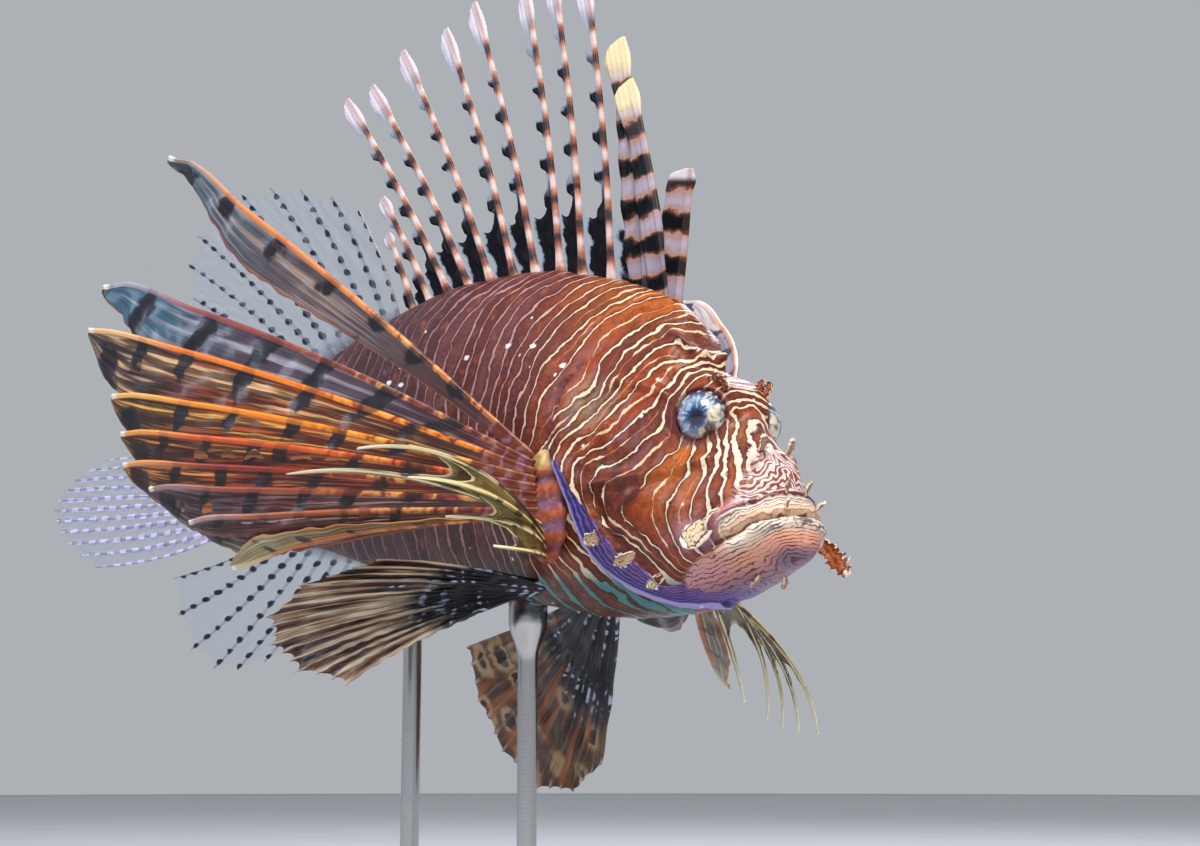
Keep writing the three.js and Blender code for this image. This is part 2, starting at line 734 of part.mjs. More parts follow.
const fish = new THREE.Group();
fish.rotation.y = THREE.MathUtils.degToRad(NOSE_DOWN);
fish.position.set(0, 0, MOUTH_HEIGHT - BALANCE * Math.sin(THREE.MathUtils.degToRad(NOSE_DOWN)));

function skinOf(colour, roughness) {
  return new THREE.MeshStandardMaterial({ color: colour, roughness, metalness: 0 });
}

const SKIN_RED = skinOf('#8e4226', 0.5);
const CHIN_PINK = skinOf('#c89a90', 0.5);
const TAIL_BROWN = skinOf('#5f3a35', 0.5);
const EYE_BLUE = skinOf('#5f86b8', 0.1);
const FIN_ORANGE = skinOf('#a5623c', 0.5);
const FIN_DARK = skinOf('#4a3028', 0.5);
const FIN_CLEAR = skinOf('#8f9fc0', 0.4);
const SPINE_CREAM = skinOf('#c9a68e', 0.5);
const FLAP_CREAM = skinOf('#cbb08a', 0.5);
const STAND_GREY = skinOf('#b9bbbd', 0.4);
const STAND_STEEL = new THREE.MeshStandardMaterial({ color: '#c4c6c8', roughness: 0.3, metalness: 1 });

function addFishPart(name, solid, material) {
  const mesh = new THREE.Mesh(bend(geometryOf(largest(solid))), material);
  mesh.name = name;
  fish.add(mesh);
}

const { head, jaw } = headSolids();
const clear = (solid) => solid.subtract(trunkClear);

addFishPart('head', head, SKIN_RED);
addFishPart('lower_jaw', jaw, CHIN_PINK);
addFishPart('torso', torsoShell(), SKIN_RED);
addFishPart('tail_stalk', trunkLength(TAIL_FROM + GAP, TRUNK, TAIL_RINGS, 0), TAIL_BROWN);
addFishPart('dorsal_fin_spiny', clear(spinyDorsal()), SPINE_CREAM);
addFishPart('dorsal_fin_soft', clear(medianFin(SOFT_DORSAL, backLine, 3, 1)), FIN_CLEAR);
addFishPart('anal_fin', clear(medianFin(ANAL, bellyLine, -3, -1)), FIN_CLEAR);
addFishPart('caudal_fin', clear(caudalFin()), FIN_CLEAR);
addFishPart('pectoral_fin_right', clear(pectoralFin(PECTORAL_RIGHT, -1)), FIN_ORANGE);
addFishPart('pectoral_fin_left', clear(pectoralFin(PECTORAL_LEFT, 1)), FIN_ORANGE);
addFishPart('pelvic_fin_right', clear(pelvicFin(PELVIC_RIGHT, -1, -18, [0, 2, 2])), FIN_DARK);
addFishPart('pelvic_fin_left', clear(pelvicFin(PELVIC_LEFT, 1, -18, [2, 3, 0])), FIN_DARK);
for (const [name, side] of [['right', -1], ['left', 1]]) {
  addFishPart(`eye_${name}`, eyeball(side), EYE_BLUE);
  addFishPart(`brow_tentacle_${name}`, clear(browTentacle(side)), FLAP_CREAM);
  addFishPart(`snout_flap_${name}`, clear(snoutFlap(side)), FLAP_CREAM);
}

const lionfish = new THREE.Group();
lionfish.add(fish);

function addStandPart(name, solid, material) {
  const mesh = new THREE.Mesh(geometryOf(largest(solid)), material);
  mesh.name = name;
  lionfish.add(mesh);
}

fish.updateMatrixWorld(true);
const bellyClear = geometryOf(trunkClear);
bend(bellyClear);
bellyClear.applyMatrix4(fish.matrixWorld);
const bellyBlock = solidOf(bellyClear);

addStandPart('stand_base', standBase(), STAND_GREY);
ROD_PLACES.forEach((back, i) => {
  const top = bend(new THREE.BufferGeometry().setFromPoints([at(back, 0, bellyLine(back))]));
  const place = new THREE.Vector3().fromBufferAttribute(top.getAttribute('position'), 0);
  place.applyMatrix4(fish.matrixWorld);
  const turned = standRod(place, place.z - BASE_THICK + 3);
  addStandPart(i === 0 ? 'stand_rod_front' : 'stand_rod_rear', turned.subtract(bellyBlock), STAND_STEEL);
});

export default lionfish;
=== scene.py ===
"""The looks of a life-size red lionfish on a display stand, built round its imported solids.

The fish is worked out straight, as places given by back, out and up in millimetres: back from
the front of the mouth, out from the middle plane (the left side positive) and up from the
mouth. FishPose then bends it along its backbone, tips it nose down and lifts it onto its rods.
"""

import logging
import math
from dataclasses import dataclass, field, replace
from enum import IntEnum
from functools import partial
from typing import Callable, Sequence

import bpy
import numpy as np
from mathutils import Matrix, Vector


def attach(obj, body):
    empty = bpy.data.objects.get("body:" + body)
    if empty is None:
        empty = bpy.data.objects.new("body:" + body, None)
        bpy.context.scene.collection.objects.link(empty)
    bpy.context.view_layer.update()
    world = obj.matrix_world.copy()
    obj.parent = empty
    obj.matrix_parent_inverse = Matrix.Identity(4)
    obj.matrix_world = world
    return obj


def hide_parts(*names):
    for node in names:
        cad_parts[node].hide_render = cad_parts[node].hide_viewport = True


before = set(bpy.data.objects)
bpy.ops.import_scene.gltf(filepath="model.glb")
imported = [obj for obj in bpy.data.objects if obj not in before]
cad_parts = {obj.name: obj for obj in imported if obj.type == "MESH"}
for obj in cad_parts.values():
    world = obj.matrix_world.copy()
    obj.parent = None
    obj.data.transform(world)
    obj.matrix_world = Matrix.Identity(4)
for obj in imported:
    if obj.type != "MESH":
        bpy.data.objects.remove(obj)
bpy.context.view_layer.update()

MM = 0.001
Array = np.ndarray
Curve = Callable[[Array], Array]
Facts = dict[str, Array | float]
Piece = bpy.types.Object
Material = bpy.types.Material

log = logging.getLogger("lionfish")


class Side(IntEnum):
    """A side of the fish, whose value is the sign of a place's distance out."""

    RIGHT = -1
    LEFT = 1

    @property
    def label(self) -> str:
        """The side's name in the names of pieces."""
        return self.name.lower()


# Small numerical helpers


def curve_through(pairs: Sequence[tuple[float, float]]) -> Curve:
    """Makes a smooth curve through pairs of place and size that never runs past them.

    Each span is a cubic Hermite piece; the slope at a pair is the weighted harmonic mean of
    the rises on its two sides, or none where the curve turns.

    Args:
        pairs: place and size, with the places in rising order.

    Returns:
        A function from places to sizes.
    """
    place, size = np.array(pairs, float).T
    step = np.diff(place)
    rise = np.diff(size) / step
    before = 2 * step[1:] + step[:-1]
    after = step[1:] + 2 * step[:-1]
    turns = rise[:-1] * rise[1:] <= 0
    safe = np.where(turns, 1.0, rise[:-1]), np.where(turns, 1.0, rise[1:])
    inner = np.where(turns, 0.0, (before + after) / (before / safe[0] + after / safe[1]))
    slope = np.concatenate([rise[:1], inner, rise[-1:]])

    def size_at(at: Array) -> Array:
        """Size of the curve at each place."""
        x = np.clip(at, place[0], place[-1])
        i = np.clip(np.searchsorted(place, x, side="right") - 1, 0, len(step) - 1)
        t = (x - place[i]) / step[i]
        rest = 1 - t
        ends = size[i] * rest**2 * (1 + 2 * t) + size[i + 1] * t**2 * (3 - 2 * t)
        return ends + step[i] * t * rest * (slope[i] * rest - slope[i + 1] * t)

    return size_at


def smooth(x: Array, low: float, high: float) -> Array:
    """Runs smoothly from 0 at low to 1 at high."""
    t = np.clip((x - low) / (high - low), 0, 1)
    return t * t * (3 - 2 * t)


def fade(x: Array, low: float, high: float) -> Array:
    """Runs smoothly from 1 at low to 0 at high."""
    return 1 - smooth(x, low, high)


def bell(x: Array, width: float) -> Array:
    """A bump of height 1 at 0 that fades over a width."""
    return np.exp(-((x / width) ** 2))


def unit(vectors: Array) -> Array:
    """Vectors of length one along the last axis."""
    return vectors / np.maximum(np.linalg.norm(vectors, axis=-1, keepdims=True), 1e-12)


def linear(hex_colour: str) -> Array:
    """Turns an sRGB hex colour such as #8a3a1e to linear red, green and blue."""
    s = np.array([int(hex_colour[i : i + 2], 16) for i in (1, 3, 5)]) / 255
    return np.where(s <= 0.04045, s / 12.92, ((s + 0.055) / 1.055) ** 2.4)


def rgba(hex_colour: str) -> tuple[float, float, float, float]:
    """An sRGB hex colour as linear red, green, blue and alpha for a socket."""
    return (*(float(x) for x in linear(hex_colour)), 1.0)


def distance_to_path(points: Array, path: Array) -> Array:
    """Shortest distance of each point to a line of straight pieces.

    Args:
        points: places, one in each row.
        path: corners of the line, one in each row.

    Returns:
        One distance for each point.
    """
    best = np.full(len(points), np.inf)
    for a, b in zip(path[:-1], path[1:]):
        along = b - a
        t = np.clip((points - a) @ along / (along @ along), 0, 1)
        best = np.minimum(best, np.linalg.norm(points - a - t[:, None] * along, axis=1))
    return best


def wobble(points: Array, size: float, seed: int) -> Array:
    """Slow waves over a surface, from about -1 to 1.

    The sum of six sines of the place along seeded directions, each wave about size long.

    Args:
        points: places, one in each row.
        size: length of the waves, in the units of the points.
        seed: picks the directions and phases.

    Returns:
        One height for each point.
    """
    draw = np.random.default_rng(100 + seed)
    ways = unit(draw.normal(size=(6, points.shape[1]))) * draw.uniform(0.7, 1.5, (6, 1))
    phase = draw.uniform(0, 2 * math.pi, 6)
    return np.sin(points @ ways.T * (2 * math.pi / size) + phase).sum(axis=1) / 3.0


def run_along(points: Array) -> Array:
    """Distance along lines of points, which run down the first axis, up to each point."""
    steps = np.linalg.norm(np.diff(points, axis=0), axis=-1)
    return np.concatenate([np.zeros_like(steps[:1]), np.cumsum(steps, axis=0)])


def mirror(point: Sequence[float], side: Side) -> Array:
    """A place with its out turned to a side."""
    return np.array(point, float) * [1, side, 1]


def each_point(value: Array | float, shape: tuple[int, int]) -> Array:
    """A number or colour for each point of a grid, from one for all or one for each."""
    value = np.asarray(value, float)
    return np.broadcast_to(value, shape + value.shape) if value.ndim < 2 else value


def paint(ground: Array | str, *coats: tuple[str, Array]) -> Array:
    """Lays coats of colour, each of which moves what is below it by its share, from 0 to 1.

    Args:
        ground: the colour below, one for all points or one for each.
        coats: colour of each coat and its share at each point.

    Returns:
        The colour on top at each point.
    """
    ground = linear(ground) if isinstance(ground, str) else ground
    for colour, share in coats:
        ground = ground + (linear(colour) - ground) * np.clip(share, 0, 1)[..., None]
    return ground


# The pose that carries straight places onto the stand


@dataclass(frozen=True)
class FishPose:
    """Bends the straight fish along its backbone, tips it nose down and lifts it."""

    mouth_height: float = 130
    nose_down: float = 6
    bend_radius: float = 577
    straight_at: float = 126
    balance: float = 107

    def place(self, points: Array) -> Array:
        """Carries straight points to where they lie on the stand.

        The heading at a place is its distance from the straight point over the bend radius;
        the point lies out from the backbone's arc, turned by that heading.

        Args:
            points: back, out and up in mm, along the last axis.

        Returns:
            The points in the row frame, in metres.
        """
        back, out, up = np.moveaxis(points, -1, 0)
        heading = (back - self.straight_at) / self.bend_radius
        start = (self.balance - self.straight_at) / self.bend_radius
        x = self.bend_radius * (math.sin(start) - np.sin(heading)) - out * np.sin(heading)
        y = self.bend_radius * (np.cos(heading) - math.cos(start)) + out * np.cos(heading)
        tip = math.radians(self.nose_down)
        lift = self.mouth_height - self.balance * math.sin(tip)
        along = x * math.cos(tip) + up * math.sin(tip)
        height = up * math.cos(tip) - x * math.sin(tip) + lift
        return np.stack([along, y, height], axis=-1) * MM


POSE = FishPose()


# Meshes from grids of points


@dataclass
class Patchwork:
    """Gathers closed surfaces as grids of points and makes one mesh object of them."""

    name: str
    points: list[Array] = field(default_factory=list)
    quads: list[Array] = field(default_factory=list)
    tris: list[Array] = field(default_factory=list)
    facts: list[Facts] = field(default_factory=list)

    def tube(self, grid: Array, facts: Facts | None = None) -> None:
        """Adds a row of closed rings with a centre point over its first and last ring.

        Args:
            grid: places, as rings by points round the ring by 3.
            facts: numbers and colours for each point of the grid.
        """
        rings, around = grid.shape[:2]
        count = rings * around
        ends = np.stack([grid[0].mean(axis=0), grid[-1].mean(axis=0)])
        index = np.arange(count).reshape(rings, around)
        turned = np.roll(index, -1, axis=1)
        first = np.stack([np.full(around, count), turned[0], index[0]], -1)
        last = np.stack([np.full(around, count + 1), index[-1], turned[-1]], -1)
        wall = np.stack([index[:-1], turned[:-1], turned[1:], index[1:]], -1)
        self.points.append(np.concatenate([grid.reshape(-1, 3), ends]))
        self.quads.append(wall.reshape(-1, 4))
        self.tris.append(np.concatenate([first, last]))
        self.facts.append({
            name: np.concatenate([
                values.reshape(count, *values.shape[2:]),
                np.stack([values[0].mean(axis=0), values[-1].mean(axis=0)]),
            ])
            for name, values in (facts or {}).items()
        })

    def shell(self, grid: Array, half: Array, face: Array, facts: Facts) -> None:
        """Adds a thin solid round a sheet: its two faces, joined round their rims.

        Args:
            grid: places on the sheet, as rows by columns by 3.
            half: half the thickness at each place.
            face: the way that the sheet faces at each place.
            facts: numbers and colours, used on both faces.
        """
        rows, columns = grid.shape[:2]
        count = rows * columns
        index = np.arange(count).reshape(rows, columns)
        quads = np.stack([index[:-1, :-1], index[1:, :-1], index[1:, 1:], index[:-1, 1:]], -1)
        quads = quads.reshape(-1, 4)
        rim = np.concatenate([index[0], index[1:, -1], index[-1, -2::-1], index[-2:0:-1, 0]])
        after = np.roll(rim, -1)
        edge = np.stack([rim, after, after + count, rim + count], -1)
        rise = half[..., None] * face
        self.points.append(np.concatenate([(grid + rise).reshape(-1, 3), (grid - rise).reshape(-1, 3)]))
        self.quads.append(np.concatenate([quads, quads[:, ::-1] + count, edge]))
        self.tris.append(np.zeros((0, 3), int))
        full = {name: each_point(values, (rows, columns)) for name, values in facts.items()}
        self.facts.append({
            name: np.concatenate([values.reshape(count, *values.shape[2:])] * 2)
            for name, values in full.items()
        })

    def build(self, place: Callable[[Array], Array] = POSE.place) -> Piece:
        """Makes the mesh object, smooth, at the origin, with its facts as attributes.

        Each surface is turned, where needed, so that the volume it encloses is positive.

        Args:
            place: carries the gathered points to the row frame in metres.

        Returns:
            The new object, linked to the scene.
        """
        placed, quads, tris, count = [], [], [], 0
        for points, four, three in zip(self.points, self.quads, self.tris):
            points = place(points)
            whole = np.concatenate([four[:, [0, 1, 2]], four[:, [0, 2, 3]], three])
            a, b, c = (points[whole[:, i]] - points[0] for i in range(3))
            if np.einsum("ij,ij->", a, np.cross(b, c)) < 0:
                four, three = four[:, ::-1], three[:, ::-1]
            placed.append(points)
            quads.append(four + count)
            tris.append(three + count)
            count += len(points)
        quads, tris = np.concatenate(quads), np.concatenate(tris)
        corners = np.concatenate([quads.ravel(), tris.ravel()]).astype(np.int32)
        starts = np.concatenate([np.arange(len(quads)) * 4, 4 * len(quads) + np.arange(len(tris)) * 3])
        mesh = bpy.data.meshes.new(self.name)
        mesh.vertices.add(count)
        mesh.vertices.foreach_set("co", np.concatenate(placed).astype(np.float32).ravel())
        mesh.loops.add(len(corners))
        mesh.loops.foreach_set("vertex_index", corners)
        mesh.polygons.add(len(starts))
        mesh.polygons.foreach_set("loop_start", starts.astype(np.int32))
        mesh.update(calc_edges=True)
        for name in self.facts[0]:
            data = np.concatenate([facts[name] for facts in self.facts]).astype(np.float32)
            if data.ndim == 1:
                mesh.attributes.new(name, "FLOAT", "POINT").data.foreach_set("value", data)
            else:
                data = np.column_stack([data, np.ones(len(data), np.float32)]).ravel()
                mesh.attributes.new(name, "FLOAT_COLOR", "POINT").data.foreach_set("color", data)
        mesh.shade_smooth()
        made = bpy.data.objects.new(self.name, mesh)
        bpy.context.scene.collection.objects.link(made)
        return made


def finish_piece(piece: Piece, material: Material, slot: str, *nodes: str) -> None:
    """Dresses a piece, rides it on the one body and hides the solids that it stands for.

    Args:
        piece: the new mesh object.
        material: its finish.
        slot: the record's material slot; not used.
        nodes: the solids that it replaces.
    """
    piece.data.materials.append(material)
    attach(piece, "root")
    if nodes:
        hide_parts(*nodes)
    log.info("%s: %d faces", piece.name, len(piece.data.polygons))


# Materials, as trees of nodes

OPTIONS = {"Math": "operation", "VectorMath": "operation", "MapRange": "interpolation_type"}
MIX_INPUTS = (0, 6, 7)
MIX_OUTPUT = 2
Socket = bpy.types.NodeSocket
Value = float | str | tuple | Socket


class Surface:
    """A new material with its own tree and shader, filled in by each finish."""

    def __init__(self, name: str, **same: float) -> None:
        """Starts a material.

        Args:
            name: what the material is called.
            same: values that are the same all over, by the shader's own inputs.
        """
        self.material = bpy.data.materials.new(name)
        self.material.use_nodes = True
        self.tree = self.material.node_tree
        self.tree.nodes.clear()
        self.space = self.add("TexCoord", out="Object")
        self.shader = self.add("BsdfPrincipled", Coat_Roughness=0.12, **same).node
        self.add("OutputMaterial", self.shader.outputs[0])

    def add(
        self, kind: str, *values: Value, out: int | str = 0, mm: float = 0, stops: tuple = (),
        **given: Value,
    ) -> Socket | None:
        """Adds one node, sets it up and joins what goes into it.

        Args:
            kind: the node's type and, after a space, its option; in capitals, the operation of
                a Math node.
            values: what goes into its inputs in order: a number, a vector, a #colour, the
                name of an attribute of the mesh or another node's output.
            out: number or name of the output wanted.
            mm: real size of a texture's grains, or real depth of a bump.
            stops: places and colours along a colour ramp.
            given: with a capital, an input by its name, with _ for a space; otherwise one of
                the node's settings.

        Returns:
            The output, or nothing from the node that ends the tree.
        """
        kind, _, option = kind.partition(" ")
        if kind.isupper():
            kind, option = "Math", kind
        made = self.tree.nodes.new("ShaderNode" + kind)
        if option:
            setattr(made, OPTIONS[kind], option)
        places = range(len(values))
        if kind == "Mix":
            made.data_type, places, out = "RGBA", MIX_INPUTS, MIX_OUTPUT
        if kind.startswith("Tex") and kind != "TexCoord":
            given = {"Vector": self.space} | given
        if mm:
            given |= {"Distance": mm * MM} if kind == "Bump" else {"Scale": 1 / (mm * MM)}
        inputs = dict(zip(places, values))
        for name, value in given.items():
            if name[0].isupper():
                inputs[name.replace("_", " ")] = value
            else:
                setattr(made, name, value)
        for place, value in inputs.items():
            self.fill(made.inputs[place], value)
        elements = made.color_ramp.elements if stops else ()
        while len(elements) < len(stops):
            elements.new(0.5)
        for element, (place, colour) in zip(elements, stops):
            element.position, element.color = place, rgba(colour)
        return made.outputs[out] if made.outputs else None

    def fill(self, socket: Socket, value: Value) -> None:
        """Sets an input, or joins something to it.

        Args:
            socket: the input.
            value: a number, vector, #colour, attribute or output.
        """
        if isinstance(value, str) and not value.startswith("#"):
            out = "Color" if socket.type == "RGBA" else "Fac"
            value = self.add("Attribute", out=out, attribute_name=value)
        if isinstance(value, Socket):
            self.tree.links.new(value, socket)
        else:
            socket.default_value = rgba(value) if isinstance(value, str) else value

    def wire(self, **inputs: Value) -> Material:
        """Fills the shader's inputs that change over the piece and gives the material."""
        for name, value in inputs.items():
            self.fill(self.shader.inputs[name.replace("_", " ")], value)
        return self.material


# The trunk: head, body and tail stalk under one skin. Its curves run over the mm back; the gill
# cover's edge runs over the level, from -1 on the belly to 1 on the back.

back_line = curve_through((
    (-0.8, -5.2), (0, -2), (1.2, 1.1), (2.5, 3.7), (4.5, 6.6), (8, 10.6), (13, 16.2), (19, 23.4),
    (25, 28.8), (30.5, 31.2), (36.5, 38.2), (45.5, 49.6), (55, 55), (76, 60.3), (105, 64.6),
    (132, 63.2), (155, 57.6), (185, 45.2), (205, 29.5), (216, 19.5), (225, 13.5),
))
belly_line = curve_through((
    (-0.8, -5.6), (0, -8), (1.2, -9.3), (8, -12), (16, -15.6), (25, -19), (35, -21.2), (63, -24),
    (95, -22), (130, -20), (160, -15.5), (185, -10.2), (202, -8.4), (213, -8.3), (225, -9.5),
))
breadth = curve_through((
    (-0.8, 0.6), (0, 3.6), (1.2, 5.6), (3, 7.4), (5, 8.8), (7, 10.3), (10, 12), (14, 13.5),
    (22, 15.4), (31, 16.8), (50, 20.8), (63, 22.2), (85, 21.3), (125, 17.6), (165, 11.3),
    (185, 8), (202, 5.8), (225, 4),
))
widest = curve_through((
    (-0.8, -5.4), (3, -2.8), (8, -1.5), (15, -0.5), (31, 2), (50, 6), (70, 12), (105, 19),
    (145, 21), (185, 15), (202, 9), (225, 2),
))
back_taper = curve_through((
    (0, 1), (10, 1.25), (25, 1.45), (36, 1.4), (46, 1.3), (65, 1.14), (155, 1.2), (225, 1),
))
gill_edge = curve_through((
    (-1, 25), (-0.97, 31), (-0.84, 41), (-0.61, 52), (-0.32, 57.4), (-0.08, 62), (0.12, 67.3),
    (0.38, 66.3), (0.8, 54), (1, 46),
))
mouth_line = curve_through((
    (-4, 1.3), (1.2, 1.1), (2.5, 0.2), (6, -1.2), (8, -3.2), (13, -5.6), (20, -9), (28, -14), (31, -17),
))

NOSE = -0.8
TRUNK = 225.0
MOUTH_CORNER = 13.0
EYE = np.array([28.8, 7.3, 22.8])
EYE_RADIUS = 6.3
EYE_FORWARD = math.radians(32)


def trunk_point(back: Array, angle: Array, grow: Array | float = 0.0) -> Array:
    """Points of the trunk's skin.

    The level is -cos(angle), the distance out is half the breadth times |sin|^taper, and the
    height is the widest place plus the reach to the back or belly times |level|^taper.

    Args:
        back: mm back from the mouth.
        angle: turn from the belly up the left side.
        grow: how many mm the skin is moved out.

    Returns:
        The points as back, out and up in mm.
    """
    back, angle = np.broadcast_arrays(np.asarray(back, float), np.asarray(angle, float))
    level = -np.cos(angle)
    taper = np.where(level > 0, back_taper(back), 1.0)
    out = (breadth(back) + grow) * np.sign(np.sin(angle)) * np.abs(np.sin(angle)) ** taper
    middle = widest(back)
    reach = np.where(level > 0, back_line(back) - middle, middle - belly_line(back)) + grow
    up = middle + np.sign(level) * reach * np.abs(level) ** taper
    return np.stack([back, out, up], axis=-1)


def share_up(back: Array, up: Array) -> Array:
    """How far up a place is: 0 on the widest line, 1 on the back and -1 on the belly."""
    middle = widest(back)
    reach = np.where(up > middle, back_line(back) - middle, middle - belly_line(back))
    return np.clip((up - middle) / reach, -1, 1)


def on_skin(back: Array, side: Side, up: Array, proud: float = 0.0) -> Array:
    """Points of one side at given heights.

    Args:
        back: mm back from the mouth.
        side: the side wanted.
        up: heights in mm.
        proud: how many mm they stand out from the skin.

    Returns:
        The points as back, out and up in mm.
    """
    back, up = np.asarray(back, float), np.asarray(up, float)
    share = share_up(back, up)
    taper = np.where(share > 0, back_taper(back), 1.0)
    level = np.abs(share) ** (1 / taper)
    half = breadth(back) * np.sqrt(1 - level**2) ** taper
    return np.stack([back, side * (half + proud), up], axis=-1)


def left_path(corners: Sequence[tuple[float, float]], steps: int = 24) -> Array:
    """A smooth line on the left side's skin.

    Args:
        corners: back and up of the places that it runs through.
        steps: how many points it gets.

    Returns:
        Its points, one in each row.
    """
    corners = np.array(corners, float)
    run = run_along(corners)
    at = np.linspace(0, run[-1], steps)
    back, up = (curve_through(list(zip(run, column)))(at) for column in corners.T)
    return on_skin(back, Side.LEFT, up)


def off_eye(points: Array, side: Side) -> tuple[Array, Array, Array]:
    """Measures points against the axis of an eye's socket.

    Args:
        points: places, one in each row.
        side: the eye's side.

    Returns:
        The axis, and how far each point lies along it and away from it.
    """
    axis = np.array([-math.sin(EYE_FORWARD), side * math.cos(EYE_FORWARD), 0])
    away = points - mirror(EYE, side)
    along = away @ axis
    return axis, along, np.linalg.norm(away - along[:, None] * axis, axis=1)


# The skin's markings, as fields over the side of the fish

PALE_LINES = (
    (-2, ((11.5, 14.5), (8, 9), (6.5, 6))), (-1, ((17, 21), (12, 12), (9, 6.5))),
    (0, ((22, 24), (18, 17), (13, 11.5), (10, 5))),
    (1, ((22.5, 27), (21.5, 19.5), (16.5, 12), (14, 5), (14.5, 1))),
    (2, ((20, 14), (17.5, 8), (16.5, 0))),
    (3, ((22.5, 14), (20.5, 7), (21.5, 0))),
    (4, ((25, 13), (26, 7), (29, 0))),
    (5, ((30.5, 16.5), (34.5, 8.5), (42, -1))),
    (6, ((36, 34), (37.5, 25), (37.5, 16.5), (44, 11.5), (49, 10.5))),
    (7, ((37, 36), (40, 26), (46.5, 18.5), (57.5, 10))),
    (8, ((43, 35), (44, 32.5), (49.5, 24), (59.5, 14))),
    (9, ((38, 39.5), (43, 41.5), (48, 37), (50, 30), (56.5, 22))),
    (10, ((44, 46), (50, 43), (54, 35), (55, 30), (62, 19.5))),
    (11, ((47.5, 49), (55, 41), (58, 34), (58, 29))),
    (12, ((55.5, 53), (64, 45.5), (69, 37), (75, 29))),
    (13, ((61.5, 53), (70, 45), (79, 34))),
    (14, ((67.5, 56), (76.5, 49), (80, 42.5))),
    (11, ((55.5, -16.5), (47, -22))), (12, ((62.5, -14), (57, -22.5))), (13, ((71, -16), (71, -23))),
    (15, ((74, 57), (82, 49.5), (86, 40), (89, 28.5), (88, 10), (86, -10))),
    (18, ((90, 59.5), (98, 53.5), (100, 43), (100.5, 30), (100, 10), (98, -12))),
    (21, ((105, 61), (114, 55), (116, 42), (116.5, 36), (116, 10), (115, -12))),
    (23, ((117, 59), (123, 57), (126, 52.5), (127, 47), (128, 30), (127.5, 0), (127, -14))),
    (25.6, ((137.5, 56), (140.5, 52), (141, 46.5), (141, 20), (141, -10))),
    (28.2, ((153, 50), (155, 30), (155, 10), (155, -8))),
    (31, ((168, 44), (170, 20), (170, -6))),
    (33.8, ((184, 36), (185, 15), (185, -4))),
    (36.6, ((200, 24), (200, 8), (200, -4))),
    (39.4, ((215, 14), (215, 0), (215, -6))),
)
JAW_LINES = ((0.4, 0.3, -5.7), (6, -3, -9.8), (13, -6, -12.3), (28, -9.4, -17.4))
LIP_TOP = ((3, 6.4), (5, 5.2), (6.4, 3.6), (9, 2.3), (12, 0.6), (15, -2))
# Ridges and grooves of the head: corners as back and up, rise and breadth
HEAD_RIDGES = (
    # The jaw's rear edge, the bone along the upper lip and the groove over it
    (((13.5, -6.2), (20, -9.4), (28, -14.4), (32, -18.5)), -0.7, 0.7),
    (((9, 0.8), (14, -1.6), (19, -5.6)), 0.75, 1.5),
    (((7, 2.6), (13, 1.0), (20.5, -3.4)), -0.35, 0.6),
    # The ridge over the cheek, the cheek bone's rear edge and the ledge under the eye
    (((22, 12), (31, 9.5), (41, 8), (52, 6)), 1.25, 1.2),
    (((51, 20), (54, 10), (51, -1), (44, -9), (34, -15.5)), 1.25, 1.3),
    (((20.5, 13.5), (26, 12.3), (32, 13.2)), 0.5, 1.1),
    # The ridges behind the eye and up the nape, and the groove along the cheek bone
    (((37.5, 27), (44, 30), (52, 31)), 1.1, 1.2),
    (((36, 36), (41, 41), (47, 45)), 1.2, 1.3),
    (((56, 14), (47, -3.5), (38, -12)), -0.35, 0.9),
)
# Bumps of the head: centre, rise and breadth
HEAD_BUMPS = (
    ((13.4, 5.4, 13.2), 1.3, 1.5), ((12.2, 3.2, 14.8), 0.6, 1.0), ((36.5, 7.5, 34), 1.2, 2.2),
    ((26.5, 6.4, 28.2), 1.5, 2.6), ((22.5, 5.2, 26.3), 1.0, 2.0), ((8.5, 2.2, 11), 0.5, 1.6),
    ((18.5, 12.5, 6.5), 0.6, 2.5), ((36.6, 2.1, 38.2), 2.8, 1.4), ((24, 1.5, 28.5), 0.9, 2.6),
    ((11, 2.5, 15.2), 0.7, 1.8), ((16, 3, 20.5), -0.8, 2.5), ((10.8, 4.2, 11.5), 1.3, 2.8),
    ((13.6, 5.9, 12.6), -1.0, 0.6),
)
# The soft collar of an eye: distance from the axis, and height along it
COLLAR = (
    (0, 0.2), (5.2, 0.2), (5.7, 1.5), (6.1, 2.35), (6.6, 2.65), (7.3, 2.2), (8.4, 0.9), (9.8, -1.1),
    (11.5, -4.0), (14, -9),
)
PALE_SPOTS = ((112.5, 39.7), (95.6, 41.9), (85.2, 41.3), (141.3, 33.8), (147.8, 34.7), (70.8, 35.6))
FAR = 99.0


